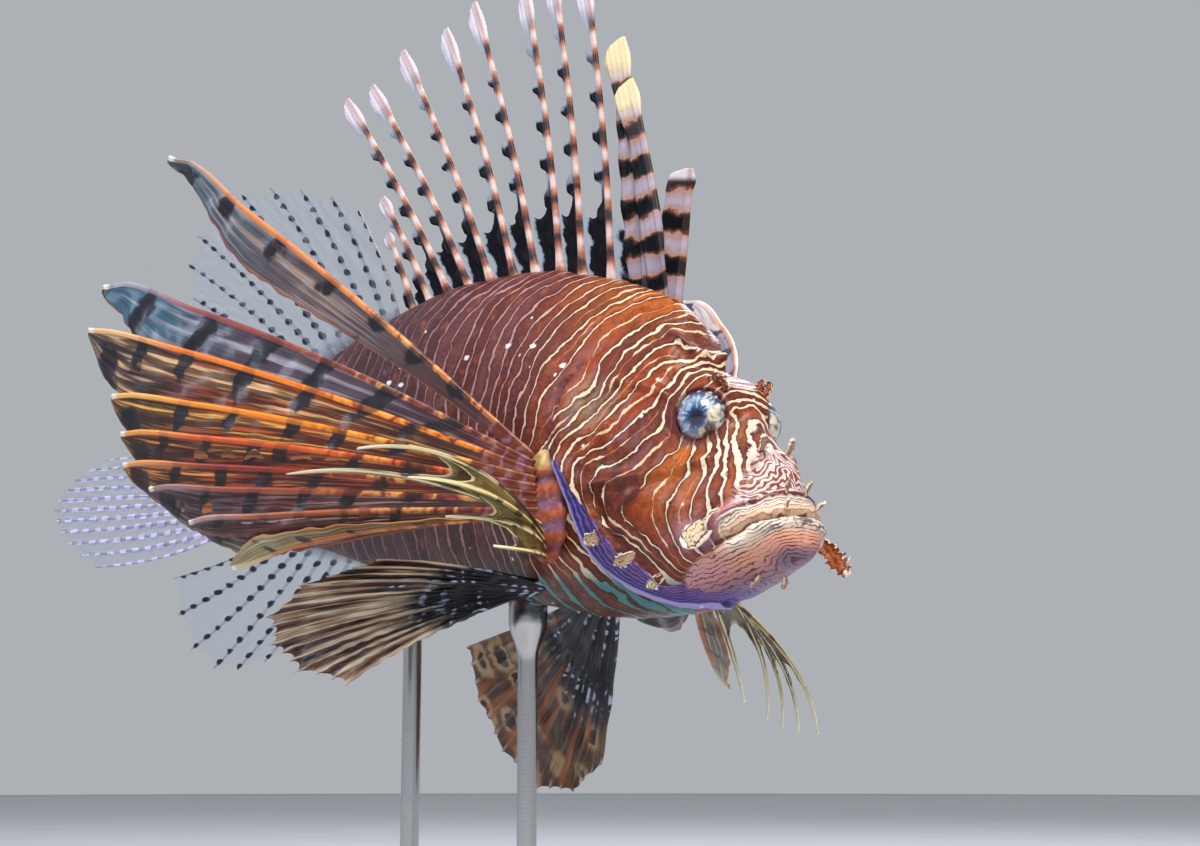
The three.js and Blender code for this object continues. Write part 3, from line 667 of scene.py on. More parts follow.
@dataclass(frozen=True)
class StripeField:
    """A smooth field over the fish's side whose whole numbers run along its pale lines.

    It is the thin plate, sum of w r^2 log r and a plane, that best passes through the
    numbered lines with a little give.
    """

    lines: tuple = PALE_LINES
    give: float = 2.0

    def fit(self) -> Curve:
        """Solves for the weights.

        Returns:
            The field, as a function of back and up.
        """
        places, numbers = [], []
        for number, corners in self.lines:
            corners = np.array(corners, float)
            run = run_along(corners)
            at = np.linspace(0, run[-1], max(2, int(run[-1] / 4)))
            places.append(np.column_stack([np.interp(at, run, corners[:, i]) for i in (0, 1)]))
            numbers.append(np.full(len(at), float(number)))
        places, numbers = np.concatenate(places), np.concatenate(numbers)
        count = len(places)
        plane = np.column_stack([np.ones(count), places])
        system = np.zeros((count + 3, count + 3))
        system[:count, :count] = self._plate(places, places) + self.give * np.eye(count)
        system[:count, count:] = plane
        system[count:, :count] = plane.T
        weights = np.linalg.solve(system, np.concatenate([numbers, np.zeros(3)]))

        def value(at: Array) -> Array:
            """The line number at places given as back and up."""
            flat = at.reshape(-1, 2)
            total = np.column_stack([np.ones(len(flat)), flat]) @ weights[count:]
            for part in np.array_split(np.arange(len(flat)), max(1, len(flat) // 20000)):
                total[part] += self._plate(flat[part], places) @ weights[:count]
            return total.reshape(at.shape[:-1])

        return value

    @staticmethod
    def _plate(a: Array, b: Array) -> Array:
        """r^2 log r between each place in a and each in b."""
        square = ((a[:, None] - b[None]) ** 2).sum(-1)
        return 0.5 * square * np.log(np.maximum(square, 1e-9))


# The trunk's skin


@dataclass
class TrunkSkin:
    """One skin over the head, jaws, body and tail stalk, with its relief and markings."""

    columns: int = 256
    head_rows: int = 190
    tuck_rows: int = 7
    body_rows: int = 150
    cap_rows: int = 6
    flare: float = 1.1
    tuck: float = 1.3
    lip: float = 1.15

    def bare_grid(self) -> tuple[Array, Array]:
        """The trunk's grid before its relief.

        Head rows run from the nose to the gill cover's edge, which bends with the level;
        the next rows roll that edge in, and body rows run on from under it to the tail.

        Returns:
            The grid, and how far along the head each point is, 0 on the body.
        """
        angle = np.arange(self.columns) * 2 * math.pi / self.columns
        level = -np.cos(angle)
        edge = gill_edge(level)
        opened = fade(level, 0.4, 0.75)
        share = np.linspace(0, 1, self.head_rows)[:, None] ** 1.2
        backs = [NOSE + share * (edge - NOSE)]
        grows = [self.flare * opened * smooth(share, 0.8, 1)]
        t = np.arange(1, self.tuck_rows + 1)[:, None] / self.tuck_rows
        backs.append(edge + opened * (0.45 * np.sin(math.pi * t) - 0.9 * t**2) + 0.5 * t * (1 - opened))
        grows.append(opened * (self.flare - (self.flare + self.tuck) * t))
        s = np.linspace(0, 1, self.body_rows + 1)[1:, None]
        start = backs[-1][-1]
        body = start + (TRUNK - start) * s
        backs.append(body)
        grows.append(-self.tuck * opened * fade(body - edge, 0, 6))
        grid = trunk_point(np.concatenate(backs), angle, np.concatenate(grows))
        turn = np.linspace(0, math.pi / 2, self.cap_rows + 1)[1:-1]
        middle = np.array([TRUNK, 0, float(widest(TRUNK))])
        caps = [(grid[-1] - middle) * math.cos(a) + middle + [3 * math.sin(a), 0, 0] for a in turn]
        grid = np.concatenate([grid, np.stack(caps)])
        head = np.zeros(grid.shape[:2])
        head[: self.head_rows] = share
        return grid, head

    @staticmethod
    def normals(grid: Array) -> Array:
        """Outward normals of a tube, from differences along and round it.

        Args:
            grid: its rings of points.

        Returns:
            A vector of length one for each point.
        """
        along = np.gradient(grid, axis=0)
        around = np.roll(grid, -1, axis=1) - np.roll(grid, 1, axis=1)
        normal = unit(np.cross(around, along))
        outward = np.einsum("ijk,ijk->", normal, grid - grid.mean(axis=1, keepdims=True))
        return normal * np.sign(outward)

    def mouth_path(self) -> Array:
        """The line between the lips, from one corner of the mouth round the front to the other."""
        back = np.concatenate([np.linspace(MOUTH_CORNER + 1.5, 2.2, 16), [1.6, 1.3]])
        near = on_skin(back, Side.RIGHT, mouth_line(back))
        return np.concatenate([near, [[1.1, 0, 1.0]], near[::-1] * [1, -1, 1]])

    def relief(self, points: Array) -> Array:
        """The relief of the lips, jaw, ridges, nostrils and folds.

        Args:
            points: places on the bare skin.

        Returns:
            How many mm each point is raised.
        """
        back, out, up = points.T
        mirrored = np.column_stack([back, np.abs(out), up])
        mouth = distance_to_path(points, self.mouth_path())
        face = smooth(20 - back, 0, 6)
        below = up < mouth_line(back)
        lip = bell(mouth - 1.7, 1.25) * np.where(below, self.lip, 0.4 * self.lip)
        height = face * (lip - 1.0 * bell(mouth, 0.45))
        second = bell(mouth - 5.4, 1.0) * np.where(below, 0.0, 0.45)
        height += face * second * smooth(back, 1, 4)
        height -= 0.7 * face * bell(mouth - 7.8, 1.0) * np.where(below, 0, 1) * smooth(back, 2, 5)
        for corners, rise, width in HEAD_RIDGES:
            height += rise * bell(distance_to_path(mirrored, left_path(corners)), width)
        for centre, rise, width in HEAD_BUMPS:
            height += rise * bell(np.linalg.norm(mirrored - centre, axis=1), width)
        folds = wobble(points, 5.0, 3) * 0.14 + wobble(points, 14.0, 4) * 0.26
        height += folds * smooth(back, 6, 14) * (1 - 0.6 * smooth(back, 60, 90))
        parting = smooth(back, 32, 46) * bell(out, 1.6) * smooth(up, 28, 34)
        return height - 0.5 * parting * fade(back, 48, 56)

    def raise_orbits(self, points: Array) -> Array:
        """Makes the soft collar that holds each eyeball.

        Against the distance r from the axis the collar climbs from 0.2 at r = 5.2 to 2.6 at
        r = 6.6 and falls away outwards; where it is higher than the head, it takes over.

        Args:
            points: places on the skin.

        Returns:
            The points, moved along each eye's axis.
        """
        collar = curve_through(COLLAR)
        moved = points.copy()
        for side in Side:
            axis, along, reach = off_eye(points, side)
            near = (along > -7) & (reach < 14) & (points[:, 1] * side > 0)
            gap = collar(reach) - along
            lift = np.where(gap > 2.5, gap, 0.9 * np.logaddexp(0, gap / 0.9))
            lift = np.where(reach < 5.3, np.minimum(lift, 0.4), lift)
            moved += (lift * near * fade(reach, 10.5, 13.5))[:, None] * axis
        return moved

    def build(self) -> None:
        """Makes the skin with its markings as attributes."""
        grid, head = self.bare_grid()
        shape = grid.shape[:2]
        normal = self.normals(grid).reshape(-1, 3)
        points = grid.reshape(-1, 3)
        height = self.relief(points)
        moved = self.raise_orbits(points + height[:, None] * normal)
        facts = Markings().facts(points, head.ravel())
        work = Patchwork("fish_skin")
        work.tube(
            moved.reshape(*shape, 3),
            {name: values.reshape(*shape, *values.shape[1:]) for name, values in facts.items()},
        )
        finish_piece(
            work.build(), SkinFinish().material(), "skin", "head", "lower_jaw", "torso", "tail_stalk"
        )


@dataclass(frozen=True)
class Markings:
    """The colours and fields that the skin's finish draws its markings from.

    Each smooth step, fade and bump runs over places back and up in mm.
    """

    field_of: Curve = field(default_factory=lambda: StripeField().fit())
    step: float = 0.5

    def lines(self, back: Array, up: Array) -> tuple[Array, Array]:
        """Reads the field of the pale lines.

        Args:
            back: mm back from the mouth.
            up: heights in mm.

        Returns:
            The line's number at each place, and the mm from one line to the next.
        """
        side = np.column_stack([back, up])
        number = self.field_of(side)
        slopes = [(self.field_of(side + move) - number) / self.step for move in self.step * np.eye(2)]
        return number, 1 / np.maximum(np.hypot(*slopes), 0.05)

    def mouth(self, back: Array, up: Array) -> Facts:
        """Masks of the lower jaw, upper lip and snout, and the run of the lines on them.

        Args:
            back: mm back from the mouth.
            up: heights in mm.

        Returns:
            Attributes by name.
        """
        jaw_top, jaw_low = (curve_through([(line[0], line[i]) for line in JAW_LINES]) for i in (1, 2))
        jaw = 5 * (jaw_top(back) - up) / (jaw_top(back) - jaw_low(back))
        is_jaw = smooth(mouth_line(back) - up, 0.0, 0.6) * fade(back, 27, 33)
        lip = np.maximum(curve_through(LIP_TOP)(back) - mouth_line(back), 0.6)
        band = (up - mouth_line(back)) / lip
        snout = fade(back, 9, 13.5) * smooth(band, 1.0, 1.25) * (1 - is_jaw)
        return {
            "jaw": jaw, "is_jaw": is_jaw, "band": band,
            "lip": smooth(band, -0.08, 0.05) * fade(band, 1.0, 1.1) * fade(back, 11, 15),
            "snout": snout * fade(up, 14, 19),
            "nib": is_jaw * fade(back, 1.5, 5) * fade(jaw, 1.2, 2.4),
        }

    def facts(self, points: Array, head: Array) -> Facts:
        """Works out every attribute of the skin.

        Args:
            points: places on the bare skin.
            head: 0 to 1 along the head's rows, and 0 on the body.

        Returns:
            Attributes by name: line number and its pitch in mm, jaw lines, masks and colours.
        """
        back, out, up = points.T

        def near(at: tuple[float, float], wide: float, tall: float) -> Array:
            """An oval bump of height 1 round a place given by back and up."""
            return bell(np.hypot((back - at[0]) / wide, (up - at[1]) / tall), 1.0)

        number, pitch = self.lines(back, up)
        mouth = self.mouth(back, up)
        jaw, is_jaw = mouth["jaw"], mouth["is_jaw"]

        edge = gill_edge(share_up(back, up))
        to_edge = np.where(head > 0, edge - back, FAR)
        deep = 4.0 + 10.5 * fade(up, -16, 8) + wobble(points, 6.0, 21) * 0.8
        rim = (head > 0) * fade(to_edge / deep, 0.75, 1.05) * fade(up, 7, 15)
        throat = smooth(back, 24, 32) * fade(up, -17, -12) * fade(back, 92, 110)
        behind = np.where(head > 0, FAR, np.maximum(back - edge, 0))
        # Painted shadow: a dark navy patch on the body just behind the gill cover's edge, where the cover
        # shades it; the pale lines narrow there too.
        painted_gill_shadow = np.exp(-behind / 3.6) * smooth(up, 8, 15) * fade(up, 32, 38)

        orbit = np.full(len(points), FAR)
        for side in Side:
            _, along, reach = off_eye(points, side)
            orbit = np.minimum(orbit, np.where(along > -6, reach, FAR))
        nostril = np.linalg.norm(np.column_stack([back, np.abs(out), up]) - [13.4, 6.0, 13.0], axis=1)
        spot_back, spot_up = np.array(PALE_SPOTS).T
        spot = np.hypot((back[:, None] - spot_back) / 1.5, (up[:, None] - spot_up) / 0.75).min(axis=1)

        dusk = near((46, 2), 10, 11) * smooth(wobble(points, 5.5, 8), -0.3, 0.5)
        pink = near((10.5, 0.8), 4, 2.8) * (1 - is_jaw)
        lilac = near((20, -4.5), 7, 3.6) * (1 - is_jaw)
        ground = paint(
            "#94390f",
            ("#bb6218", smooth(up, 34, 58) * fade(back, 70, 112) * 0.9),
            ("#b8601c", fade(np.hypot(back - 23, up - 9), 9, 19) * 0.85),
            ("#64241c", smooth(back, 68, 96)),
            ("#3a1e26", smooth(back, 100, 146) * 0.85),
            ("#2b1418", fade(up, -16, 12) * smooth(back, 66, 90) * 0.85),
            ("#9a5230", mouth["snout"] * 0.8),
            ("#5a3420", throat * (back > 45)),
            ("#dca088", is_jaw),
            ("#f2e4d4", is_jaw * fade(jaw, 0.6, 3.2) * fade(back, 9, 16)),
            ("#b88aa6", is_jaw * smooth(jaw, 1.0, 3.0) * smooth(back, 9, 20) * 0.6),
            ("#a86c78", is_jaw * smooth(jaw, 3.4, 5.2) * 0.6),
            # Blue-grey underside of the jaw: partly its own bluish tone, partly painted shade under the
            # chin.
            ("#50587c", is_jaw * smooth(jaw, 4.6, 6.6) * 0.75),
            ("#32120e", dusk * 0.75),
            ("#d494a4", pink),
            ("#b391b4", lilac * 0.9),
            ("#cfc091", near((58, 25), 5, 5) * 0.6),
            # the painted shadow behind the gill cover
            ("#121c38", painted_gill_shadow),
        )
        narrow = paint(
            ground * (0.62 + 0.28 * fade(back, 24, 44))[:, None],
            ("#5a2c44", fade(back, 25, 64) * 0.35),
            ("#9a5a5c", smooth(back, 78, 100) * fade(back, 120, 160) * 0.35),
        )
        pale = paint(
            "#f0d6b4",
            ("#ead2c6", fade(back, 14, 28)),
            ("#b48488", smooth(back, 66, 96)),
            ("#6c566e", smooth(back, 110, 150)),
            ("#437f80", throat),
        )
        rimmed = paint(
            "#463a86", ("#6c4e8c", smooth(to_edge, 3, 9)), ("#3b3f94", smooth(back, 50, 62) * 0.5),
        )
        width = 0.37 - 0.06 * smooth(back, 20, 50) + 0.06 * smooth(back, 80, 110)
        width += 0.95 * throat + 0.05 * fade(back, 22, 30) * smooth(up, 12, 17) - 0.6 * painted_gill_shadow
        width *= np.where(back < 60, np.clip(3.4 / pitch, 0.4, 1), 1)
        width -= 0.8 * near((43, 0.5), 8, 7) * smooth(wobble(points, 8.0, 12), -0.9, 0.2)
        thin = smooth(pitch, 3.4, 4.8) * smooth(back, 20, 30) * fade(back, 62, 76) * (1 - throat)
        return mouth | {
            "number": number, "pitch": pitch, "width": width, "thin": thin, "rim": rim,
            "to_edge": to_edge, "orbit": orbit, "nostril": nostril, "spot": spot,
            "bare": np.clip(1.3 * pink + 0.8 * lilac, 0, 1),
            "ground": ground, "narrow": narrow, "pale": pale, "rimmed": rimmed,
        }


@dataclass(frozen=True)
class SkinFinish:
    """Real fish skin: wet, thin scales under slime, with pigment in stripes below the gloss.

    The slime gives a soft coat highlight; the scales give a fine pebbled bump; the pigment is
    warped by the body's own irregular growth, so that no line is straight or of one width.
    """

    roughness: float = 0.42
    warp: float = 2.2

    def material(self) -> Material:
        """Makes the finish from the skin's attributes.

        Returns:
            The material.
        """
        s = Surface("skin", IOR=1.38, Coat_Weight=0.15, Specular_IOR_Level=0.4)
        slow = s.add("SUBTRACT", s.add("TexNoise", mm=9, Detail=1), 0.5)
        fine = s.add("SUBTRACT", s.add("TexNoise", mm=2.6), 0.5)
        colour = self.stripes(s, slow, fine)
        colour = s.add("Mix", "is_jaw", colour, self.jaw(s, slow, fine))
        lip = s.add("ValToRGB", s.add("MULTIPLY_ADD", fine, 0.5, "band"), stops=(
            (0, "#7c4a40"), (0.06, "#dcc0a4"), (0.18, "#cfa88c"), (0.22, "#9a6450"), (0.27, "#e0c8b0"),
            (0.4, "#d8b89c"), (0.44, "#84503e"), (0.49, "#ecdccc"), (0.58, "#e4ccb8"), (0.62, "#6a3a30"),
            (0.67, "#f0e4d8"), (0.76, "#6a3430"), (0.82, "#f0e6dc"), (0.95, "#5a2a2c"),
        ))
        maze = s.add("MULTIPLY", s.add("TexNoise", mm=3.6, Detail=1.5, Distortion=0.5), 4.2)
        maze = s.add("PINGPONG", s.add("MULTIPLY_ADD", "nostril", 0.7, maze), 0.5)
        maze = s.add("ValToRGB", maze, stops=(
            (0.05, "#9a5436"), (0.15, "#7c3c2c"), (0.22, "#4c2434"), (0.27, "#ecdfe2"), (0.48, "#dcc4cc"),
        ))
        rim = s.add("MapRange", s.add("MULTIPLY_ADD", fine, 1.8, "rim"), 0.35, 0.6)
        spot = s.add("MapRange", "spot", 1.1, 0.75)
        fleck = s.add("MapRange", s.add("TexVoronoi", mm=25 / 3, out="Distance"), 0.075, 0.045)
        for share, over in (
            ("lip", lip), ("snout", maze), (rim, self.gill_rim(s, fine)), (spot, "#f2f0f4"),
            (fleck, "#efe6ea"),
        ):
            colour = s.add("Mix", share, colour, over)
        # The scales show as pebbles about 1.1 mm across
        pores = s.add("Bump", Height=s.add("TexVoronoi", mm=10 / 9), mm=0.12)
        normal = s.add("Bump", Height=s.add("TexNoise", mm=1.6, Detail=3), mm=0.18, Normal=pores)
        wet, dry = self.roughness - 0.1, self.roughness + 0.14
        rough = s.add("MapRange", s.add("TexNoise", mm=3, Detail=3), 0, 1, wet, dry)
        return s.wire(Base_Color=colour, Normal=normal, Roughness=rough)

    def stripes(self, s: Surface, slow: Socket, fine: Socket) -> Socket:
        """Rust skin in broad and narrow bands between pale lines with crisp dark edges.

        Args:
            s: the material being made.
            slow: long waves about 0 that warp the lines.
            fine: short waves about 0 that fray them.

        Returns:
            The colour.
        """
        shift = s.add("MULTIPLY", slow, 1.9 * self.warp)
        shift = s.add("MULTIPLY_ADD", fine, 0.8 * self.warp, shift)
        number = s.add("ADD", "number", s.add("DIVIDE", shift, "pitch"))
        away = s.add("ABSOLUTE", s.add("SUBTRACT", number, s.add("ROUND", number)))
        away = s.add("MULTIPLY", away, "pitch")
        vary = s.add("MapRange", s.add("TexNoise", mm=6), 0.34, 0.66, 0.12, 1.2)
        width = s.add("MULTIPLY", "width", vary)
        outer = s.add("ADD", width, 0.22)
        pale = s.add("MapRange SMOOTHSTEP", away, outer, width)
        half_way = s.add("SUBTRACT", s.add("MULTIPLY_ADD", "pitch", 0.5, -0.03), away)
        thin = s.add("MapRange", s.add("TexNoise", mm=5, Detail=1), 0.42, 0.6, -0.1, 0.26)
        thin = s.add("MULTIPLY", thin, "thin")
        second = s.add("MapRange", half_way, s.add("ADD", thin, 0.18), thin, 0, 0.85)
        second = s.add("MULTIPLY", second, "thin")
        dark = s.add("MapRange", away, s.add("ADD", width, 1.3), outer, 0, 0.62)
        crisp = s.add("MapRange", away, s.add("ADD", width, 0.5), outer, 0, 0.75)
        blotch = s.add("MapRange", s.add("TexNoise", mm=6, Detail=4, Distortion=0.5), 0.38, 0.68, 0, 0.48)
        glow = s.add("MapRange", s.add("TexNoise", mm=3.2, Detail=3), 0.55, 0.75, 0, 0.4)
        speck = s.add("MapRange", s.add("TexNoise", mm=1.3, Detail=3, Distortion=0.5), 0.5, 0.6, 0, 0.42)
        orbit = s.add("MapRange", "orbit", 7.6, 6.5, 0, 0.7)
        bare = s.add("MapRange", s.add("MULTIPLY_ADD", fine, 1.2, "bare"), 0.35, 0.7, 0, 0.92)
        between = s.add("MapRange", s.add("PINGPONG", number, 2), 0.95, 1.05)
        colour = s.add("Mix", between, "ground", "narrow")
        for share, over in (
            (blotch, "#4a1a10"), (glow, "#c8702c"), (speck, "#541c0c"), (dark, "#4a1812"),
            (crisp, "#240c14"), (second, "pale"), (pale, "pale"), (orbit, "#54242c"), (bare, "ground"),
        ):
            colour = s.add("Mix", share, colour, over)
        return colour

    @staticmethod
    def jaw(s: Surface, slow: Socket, fine: Socket) -> Socket:
        """The lower jaw's pinkish skin under fine brown lines, with a dark nib at its tip.

        Args:
            s: the material being made.
            slow: long waves that warp the lines.
            fine: short waves that fray them.

        Returns:
            The colour.
        """
        run = s.add("MULTIPLY_ADD", fine, 1.9, s.add("MULTIPLY", "jaw", 1.5))
        near = s.add("PINGPONG", s.add("MULTIPLY_ADD", slow, 2.6, run), 0.5)
        wide = s.add("MapRange", s.add("TexNoise", mm=3.5), 0.35, 0.68, 0, 0.17)
        line = s.add("MapRange", near, s.add("ADD", wide, 0.06), wide, 0, 0.9)
        colour = s.add("Mix", line, "ground", "#5c2420")
        nib = s.add("MapRange", s.add("TexNoise", mm=2, Detail=3, Distortion=1), 0.5, 0.56, 0, 0.8)
        return s.add("Mix", s.add("MULTIPLY", nib, "nib"), colour, "#3c3a44")

    @staticmethod
    def gill_rim(s: Surface, fine: Socket) -> Socket:
        """The violet edge of the gill cover, streaked along, with a painted pale highlight along its very
        rim.
        """
        line = s.add("PINGPONG", s.add("MULTIPLY_ADD", fine, 3, "to_edge"), 0.9)
        colour = s.add("Mix", s.add("MapRange", line, 0.6, 0.85, 0, 0.55), "rimmed", "#8c7cc0")
        colour = s.add("Mix", s.add("MapRange", line, 0.4, 0.12, 0, 0.8), colour, "#231448")
        # Painted highlight: a pale lilac line along the very edge of the flared gill cover.
        return s.add("Mix", s.add("MapRange", "to_edge", 1.1, 0.4, 0, 0.8), colour, "#b3a2dc")


# Fins


@dataclass(frozen=True)
class Ray:
    """A bowed line from root to tip; its middle bulges by bow."""

    root: Array
    tip: Array
    bow: Array

    def at(self, t: Array) -> Array:
        """Points of the quadratic curve root(1-t)^2 + 2 middle t(1-t) + tip t^2."""
        t = np.asarray(t, float)[..., None]
        middle = (self.root + self.tip) / 2 + 2 * self.bow
        return self.root * (1 - t) ** 2 + 2 * middle * t * (1 - t) + self.tip * t**2

    def lower(self, share: float) -> "Ray":
        """The lower share of the ray; its middle lies the same share of the way."""
        middle = (self.root + self.tip) / 2 + 2 * self.bow
        tip = self.at(share)
        return Ray(self.root, tip, (self.root + share * (middle - self.root) - (self.root + tip) / 2) / 2)

    def length(self) -> float:
        """Length of the curve in mm."""
        return float(np.linalg.norm(np.diff(self.at(np.linspace(0, 1, 40)), axis=0), axis=1).sum())


@dataclass(frozen=True)
class Vane:
    """A ray or spine with a thin web behind it, as one closed blade.

    Lead and trail give how far the blade reaches from the ray each way in mm; the ray is an
    ellipse in section, the web beside it is thin, and its free edge is ragged.
    """

    ray: Ray
    beside: Curve
    lead: Curve
    trail: Curve
    crest: Curve
    steps: int = 90
    columns: int = 16
    web: float = 0.24
    ripple: float = 0.35
    ragged: float = 0.06
    hook: float = 0.0
    tuck: float = 0.0
    seed: int = 1

    def add(self, work: Patchwork, facts: Callable[..., Facts]) -> None:
        """Adds the blade.

        Args:
            work: the fin being made.
            facts: gives attributes from t, the mm across, the full width and the ray's length.
        """
        t = np.linspace(0, 1, self.steps)
        core = self.ray.at(t)
        along = unit(np.gradient(core, axis=0))
        across = self.beside(t) - core
        across = unit(across - (across * along).sum(1, keepdims=True) * along)
        face = np.cross(along, across)
        bulge = smooth(t, 0.72, 0.9) * fade(t, 0.92, 1)
        core = core - (self.hook * bulge)[:, None] * across
        length = self.ray.length()
        rag = wobble(np.column_stack([t * length, t * 0]), 6.0, self.seed)
        lead, wide = self.lead(t)[:, None], self.trail(t)[:, None]
        trail = wide * (1 + self.ragged * rag * smooth(t, 0.25, 0.6))[:, None]
        share = np.linspace(-1, 1, self.columns)
        near = share[share < 0]
        far = np.linspace(0, 1, self.columns - len(near)) ** 1.25
        s = np.concatenate([near * lead, far * trail], axis=1)
        round_part = self.crest(t)[:, None] * np.sqrt(np.clip(1 - (s / np.maximum(lead, 0.3)) ** 2, 0, 1))
        half = np.maximum(round_part, self.web * (1 - 0.6 * smooth(s / trail, 0.85, 1)))
        flat = np.column_stack([np.repeat(t * length, s.shape[1]), s.ravel()])
        waves = wobble(flat, 11.0, self.seed + 7).reshape(s.shape)
        lay = self.ripple * waves * smooth(s, 0.5, 4) + self.tuck * s * smooth(s, 0, 3)
        grid = core[:, None] + s[..., None] * across[:, None] + lay[..., None] * face[:, None]
        made = facts(np.broadcast_to(t[:, None], s.shape), s, wide * np.ones_like(s), length)
        work.shell(grid, half, face[:, None], made)


@dataclass(frozen=True)
class RayedWeb:
    """A fin of rays joined by a web whose margin is scalloped between the rays."""

    rays: tuple[Ray, ...]
    crest: float = 0.65
    web: float = 0.2
    notch: float = 0.95
    steps: int = 90
    between: int = 9
    ripple: float = 0.25
    branches: int = 1
    seed: int = 1

    def add(self, work: Patchwork, facts: Callable[..., Facts]) -> None:
        """Adds the fin.

        Args:
            work: the fin being made.
            facts: gives attributes from t, the ray's number, the gap to a ray and the mm along.
        """
        t = np.linspace(0, 1, self.steps)[:, None]
        count = len(self.rays)
        number = np.linspace(0, count - 1, (count - 1) * self.between + 1)
        low = np.clip(np.floor(number).astype(int), 0, count - 2)
        part = number - low
        twig = part * self.branches % 1
        dip = 0.35 * (4 * part * (1 - part)) + 0.65 * np.sqrt(4 * twig * (1 - twig))
        reach = t * (1 - (1 - self.notch) * dip)
        lines = np.stack([
            self.rays[i].at(reach[:, j]) * (1 - f) + self.rays[i + 1].at(reach[:, j]) * f
            for j, (i, f) in enumerate(zip(low, part))
        ], axis=1)
        across = np.gradient(lines, axis=1)
        face = unit(np.cross(np.gradient(lines, axis=0), across))
        spacing = np.linalg.norm(across, axis=2) * self.between
        gap = np.abs(number - np.round(number))[None] * spacing
        twig_gap = np.minimum(twig, 1 - twig)[None] * spacing / self.branches
        twig_gap = np.where(t > 0.25, twig_gap, gap)
        gap = gap + (twig_gap - gap) * smooth(t, 0.25, 0.45)
        thin = self.crest * (1 - 0.55 * t)
        half = self.web * (1 - 0.5 * smooth(t, 0.93, 1)) + (thin - self.web) * bell(gap, 0.75)
        run = run_along(lines)
        flat = np.column_stack([run.ravel(), (number[None] * spacing).ravel()])
        waves = wobble(flat, 13.0, self.seed).reshape(run.shape)
        grid = lines + (0.6 * self.ripple * waves * smooth(t, 0.1, 0.4))[..., None] * face
        made = facts(np.broadcast_to(t, run.shape), np.broadcast_to(number, run.shape), gap, run)
        work.shell(grid, np.maximum(half, 0.1), face, made)


# Dorsal spines: back at the foot, length, lean backwards in degrees, breadth of the flag
SPINES = (
    (50.7, 32, -2, 6.4), (53.6, 61, 20, 6), (62.6, 68, 14, 6.2), (76.4, 85, 13, 4.2),
    (87.8, 87, 14, 4), (96.4, 84, 16, 4), (106, 86, 23, 3.8), (114.5, 82, 26, 3.8),
    (123.5, 83, 32, 3.8), (132, 78, 37, 3.6), (140, 78, 39, 3.6), (147.5, 39, 36, 3),
    (154, 26, 30, 2.6),
)
SPINE_TWIST = (-0.9, -0.4, -0.4, -0.15)
SOFT_DORSAL = (
    (159, 181, 88), (164, 193, 93), (169, 206, 96), (174, 219, 97.5), (179, 231, 96),
    (183, 241, 92), (187, 248, 84), (190.5, 251, 75), (194, 247, 64), (198, 238, 52),
)
ANAL = (
    (161, 172, -29), (165, 182, -35), (170, 192, -40), (175, 203, -44.5), (180, 214, -47.5),
    (185, 224, -48), (189, 234, -43), (193, 241, -33), (198, 244, -22),
)
PECTORAL_RIGHT = (
    ((188, 64, 89), (0, 8, 6), 12.5, 0.68), ((207, 68, 54), (0, 10, 6), 16.5, 0.78),
    ((209, 70, 42), (0, 12, 4), 16, 0.82), ((195, 70, 24), (0, 12, 3), 14, 0.82),
    ((189, 70, 14), (0, 12, 2), 12, 0.85), ((188, 69, 6), (0, 12, 1), 12, 0.8),
    ((176, 68, 0), (0, 11, 0), 12, 0.75), ((159, 66, -8), (0, 10, 0), 10, 0.75),
    ((143, 62, -19), (0, 8, 2), 7.5, 0.8), ((113, 68, 4), (-17, 12, 4), 7, 0.5),
    ((85, 66, 10), (-14, 7, 6), 4.5, 0.5), ((71, 60, 4), (-10, 3, 3), 4, 0.5),
    ((69, 50, -4), (-7, 0, 2), 4.4, 0.5), ((57, 44, -10), (-4, 0, 0), 4, 0.5),
)
PECTORAL_LEFT = (
    ((145, 103, 77), (-4, 13, 8), 17, 0.8), ((164, 94, 60), (-4, 15, 5), 13, 0.8),
    ((171, 90, 45), (-2, 14, 4), 12, 0.82), ((172, 88, 31), (0, 13, 3), 12, 0.82),
    ((168, 86, 17), (0, 12, 2), 11, 0.82), ((161, 84, 5), (0, 11, 1), 11, 0.82),
    ((150, 80, -5), (0, 10, 0), 10, 0.8), ((132, 76, -23), (0, 8, -1), 9, 0.75),
    ((105, 84, -41), (6, 2, -3), 7.5, 0.6), ((99, 84, -45), (1, 3, -1), 6, 0.6),
    ((92, 85, -49), (-5, 2, 2), 4.4, 0.6), ((86, 84, -51), (-6, 2, 2), 4.4, 0.6),
    ((79, 82, -51.5), (-7, 1, 2), 4.4, 0.6), ((71, 80, -51), (-8, 0, 2), 4.4, 0.6),
)
FREE_FROM = 9
PELVIC_RIGHT = (
    (124, 31, -14), (144, 41, -22), (155, 43, -31), (152, 43, -38), (140, 42, -44), (124, 38, -46),
)
PELVIC_LEFT = (
    (91, 22, -62), (105, 26, -70.5), (120, 28, -71.5), (134, 28, -63), (143, 26, -50), (145, 22, -35),
)

paddle = curve_through(
    ((0, 0.6), (0.2, 0.9), (0.35, 0.9), (0.8, 0.72), (0.93, 0.95), (0.98, 0.65), (1, 0.15))
)
blade = curve_through(((0, 0.35), (0.3, 0.62), (0.6, 0.92), (0.86, 0.9), (0.96, 0.72), (1, 0.2)))


